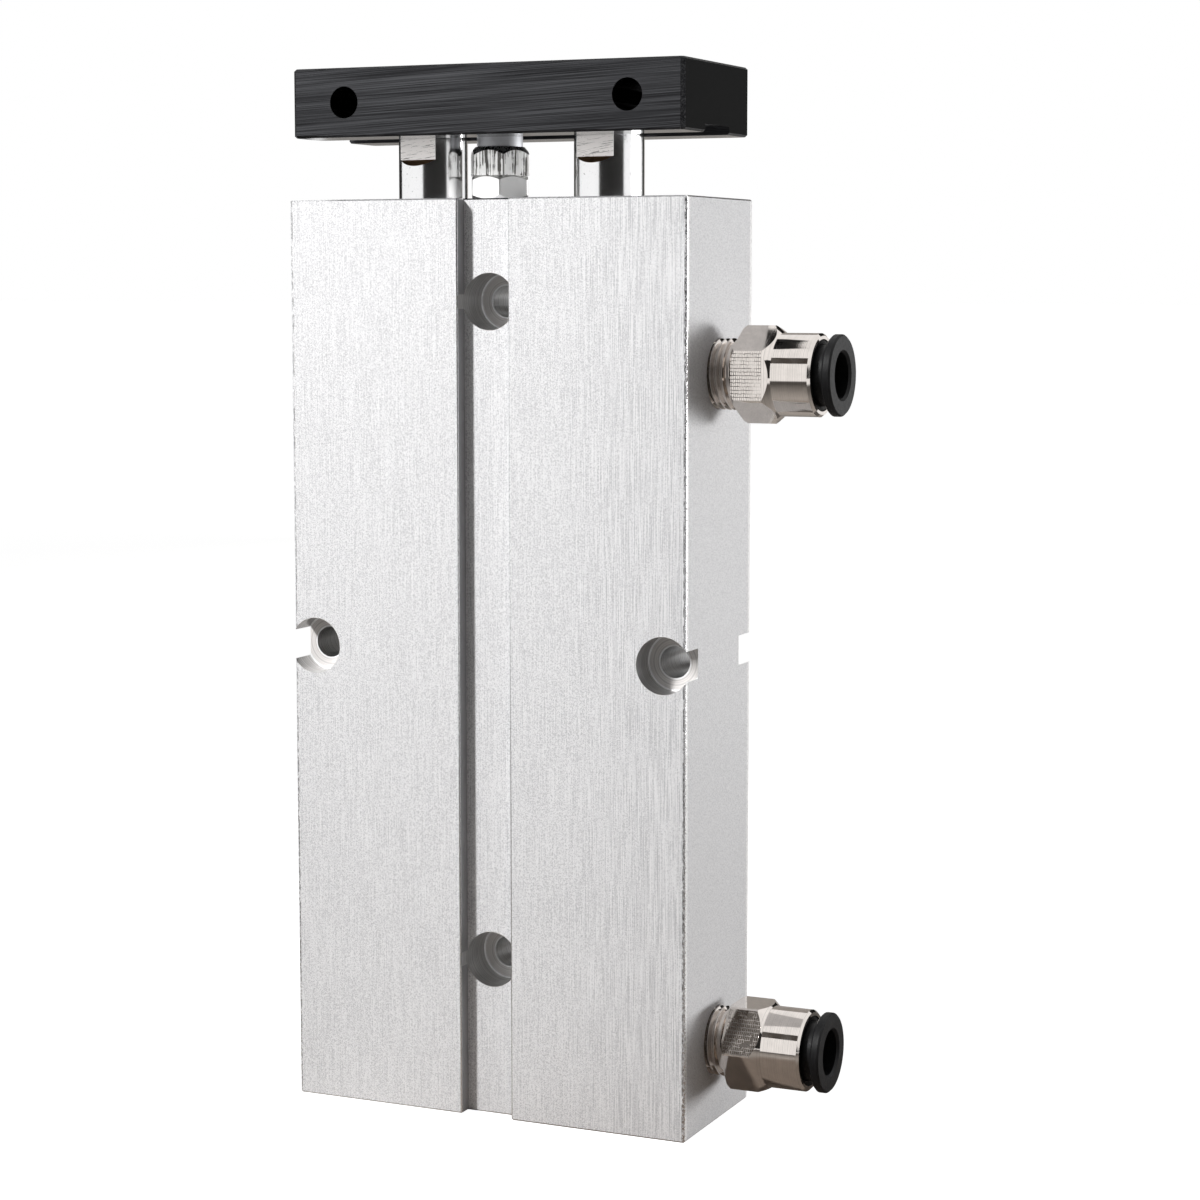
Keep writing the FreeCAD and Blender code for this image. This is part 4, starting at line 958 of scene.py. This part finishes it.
class CYLINDER_OT_stage(bpy.types.Operator):
    """Sets up the floor, the studio light and the camera"""
    bl_idname = "cylinder.stage"
    bl_label = "Stage"

    def execute(self, context):
        look = context.scene.cylinder_look.studio
        self.make_floor(look)
        self.make_room(context.scene, look)
        self.make_lights(look)
        self.make_camera(context.scene, look)
        return {"FINISHED"}

    def make_floor(self, look):
        """White with a shadow for the camera, a plain table for light with a painted shadow below the lower
        fitting, white beyond it for metal.
        """
        material = bpy.data.materials.new("pale_table")
        material.use_nodes = True
        tree = material.node_tree
        tree.nodes.clear()
        nodes = Nodes(tree)
        white = (*WHITE, 1.0)
        shadow_tint = (0.5, 0.5, 0.5, 1.0)
        camera_glow = 0.94
        from_sleeve = 11.0
        before_axis = 6.0
        below_fitting = Vector((CAD_BOX[1][0] / MM - from_sleeve, -before_axis, 0.0))
        # Painted shadow: the table is darker round a spot below the lower fitting and fades out between the
        # two distances.
        point = nodes.millimetres()
        aside = nodes.apart(point, below_fitting)
        table_with_painted_shadow = nodes.ramp(aside, low=look.painted_shadow_start / MM, high=look.painted_shadow_end / MM)
        table_with_painted_shadow = nodes.blend(table_with_painted_shadow, look.under, look.floor)
        table = nodes.add("ShaderNodeBsdfDiffuse", {"Color": table_with_painted_shadow}).outputs[0]
        shadowed = nodes.add("ShaderNodeBsdfDiffuse", {"Color": shadow_tint}).outputs[0]
        glow = nodes.add("ShaderNodeEmission", {"Color": white, "Strength": camera_glow}).outputs[0]
        seen = nodes.add("ShaderNodeAddShader", {0: shadowed, 1: glow}).outputs[0]
        far = nodes.add("ShaderNodeEmission", {"Color": white, "Strength": 1.0}).outputs[0]
        path = nodes.add("ShaderNodeLightPath").outputs
        metal = nodes.either(path["Is Glossy Ray"], path["Is Transmission Ray"])
        edge = look.table / MM
        beyond = nodes.both(metal, nodes.ramp(nodes.span(point), low=0.8 * edge, high=1.1 * edge))
        around = nodes.add("ShaderNodeMixShader", {0: beyond, 1: table, 2: far}).outputs[0]
        mixed = nodes.add("ShaderNodeMixShader", {0: path["Is Camera Ray"], 1: around, 2: seen}).outputs[0]
        nodes.add("ShaderNodeOutputMaterial", {"Surface": mixed})
        floor = flat_sheet("floor", material, half_size=15.0)
        gap = 0.02 * MM
        floor.location.z = CAD_BOX[0][2] - gap

    def make_room(self, scene, look):
        """White where the camera and metal see it, and the room's own light elsewhere."""
        world = bpy.data.worlds.new("studio")
        world.use_nodes = True
        tree = world.node_tree
        tree.nodes.clear()
        nodes = Nodes(tree)
        white = (*WHITE, 1.0)
        path = nodes.add("ShaderNodeLightPath").outputs
        direct = nodes.either(path["Is Camera Ray"], path["Is Glossy Ray"])
        direct = nodes.either(direct, path["Is Transmission Ray"])
        room = nodes.add("ShaderNodeBackground", {"Color": white, "Strength": look.ambient}).outputs[0]
        seen = nodes.add("ShaderNodeBackground", {"Color": white, "Strength": 1.0}).outputs[0]
        mixed = nodes.add("ShaderNodeMixShader", {0: direct, 1: room, 2: seen}).outputs[0]
        nodes.add("ShaderNodeOutputWorld", {"Surface": mixed})
        scene.world = world
        scene.view_settings.view_transform = "Standard"

    def make_lights(self, look):
        """A narrow key and a wide fill, with cards for the metal to mirror."""
        key_place = polar(azimuth=-37, elevation=36, distance=0.8)
        fill_place = polar(azimuth=122, elevation=0, distance=1.0)
        add_lamp("key", look.key, key_place, look.key_target, width=0.07, height=0.20, spread=30)
        add_lamp("fill", look.fill, fill_place, MIDDLE, width=0.60, height=0.20)
        dark = card_finish("dark_card", look.flag)
        warm = card_finish("warm_card", look.warm_flag)
        pale = card_finish("pale_card", look.pale_flag, look.pale_glow)
        add_card("flag_front", dark, azimuth=32, elevation=6, width=1.42, height=0.90)
        add_card("flag_overhead", warm, azimuth=-28, elevation=40, width=0.62, height=0.22)
        add_card("flag_rear", dark, azimuth=171, elevation=8, width=0.34, height=0.80)
        add_card("flag_back", pale, azimuth=-163, elevation=8, width=0.46, height=0.80)
        add_card("flag_left", dark, azimuth=-126, elevation=8, width=0.68, height=0.80)

    def make_camera(self, scene, look):
        lens = bpy.data.cameras.new("camera")
        lens.sensor_fit = "HORIZONTAL"
        lens.lens = look.lens
        lens.clip_start = 0.01
        holder = bpy.data.objects.new("camera", lens)
        holder.location = look.camera
        holder.rotation_euler = Vector(look.aim).to_track_quat("-Z", "Y").to_euler()
        scene.collection.objects.link(holder)
        scene.camera = holder


OPERATORS = (
    CYLINDER_OT_barrel,
    CYLINDER_OT_plate,
    CYLINDER_OT_rods,
    CYLINDER_OT_stop,
    CYLINDER_OT_fittings,
    CYLINDER_OT_inner,
    CYLINDER_OT_stage,
)


class CYLINDER_PT_pieces(bpy.types.Panel):
    """Lists the pieces in the order they are made"""
    bl_idname = "CYLINDER_PT_pieces"
    bl_label = "Double rod cylinder"
    bl_space_type = "VIEW_3D"
    bl_region_type = "UI"
    bl_category = "Cylinder"

    def draw(self, context):
        for operator in OPERATORS:
            self.layout.operator(operator.bl_idname)


LOOKS = (BarrelLook, PlateLook, RodLook, StopLook, FittingLook, InnerLook, StudioLook, CylinderLook)
CLASSES = (*LOOKS, *OPERATORS, CYLINDER_PT_pieces)


def register():
    for item in CLASSES:
        bpy.utils.register_class(item)
    bpy.types.Scene.cylinder_look = PointerProperty(type=CylinderLook)


def unregister():
    del bpy.types.Scene.cylinder_look
    for item in reversed(CLASSES):
        bpy.utils.unregister_class(item)


def main():
    register()
    bpy.ops.cylinder.barrel()
    bpy.ops.cylinder.plate()
    bpy.ops.cylinder.rods()
    bpy.ops.cylinder.stop()
    bpy.ops.cylinder.fittings()
    bpy.ops.cylinder.inner()
    bpy.ops.cylinder.stage()


if __name__ == "__main__":
    main()
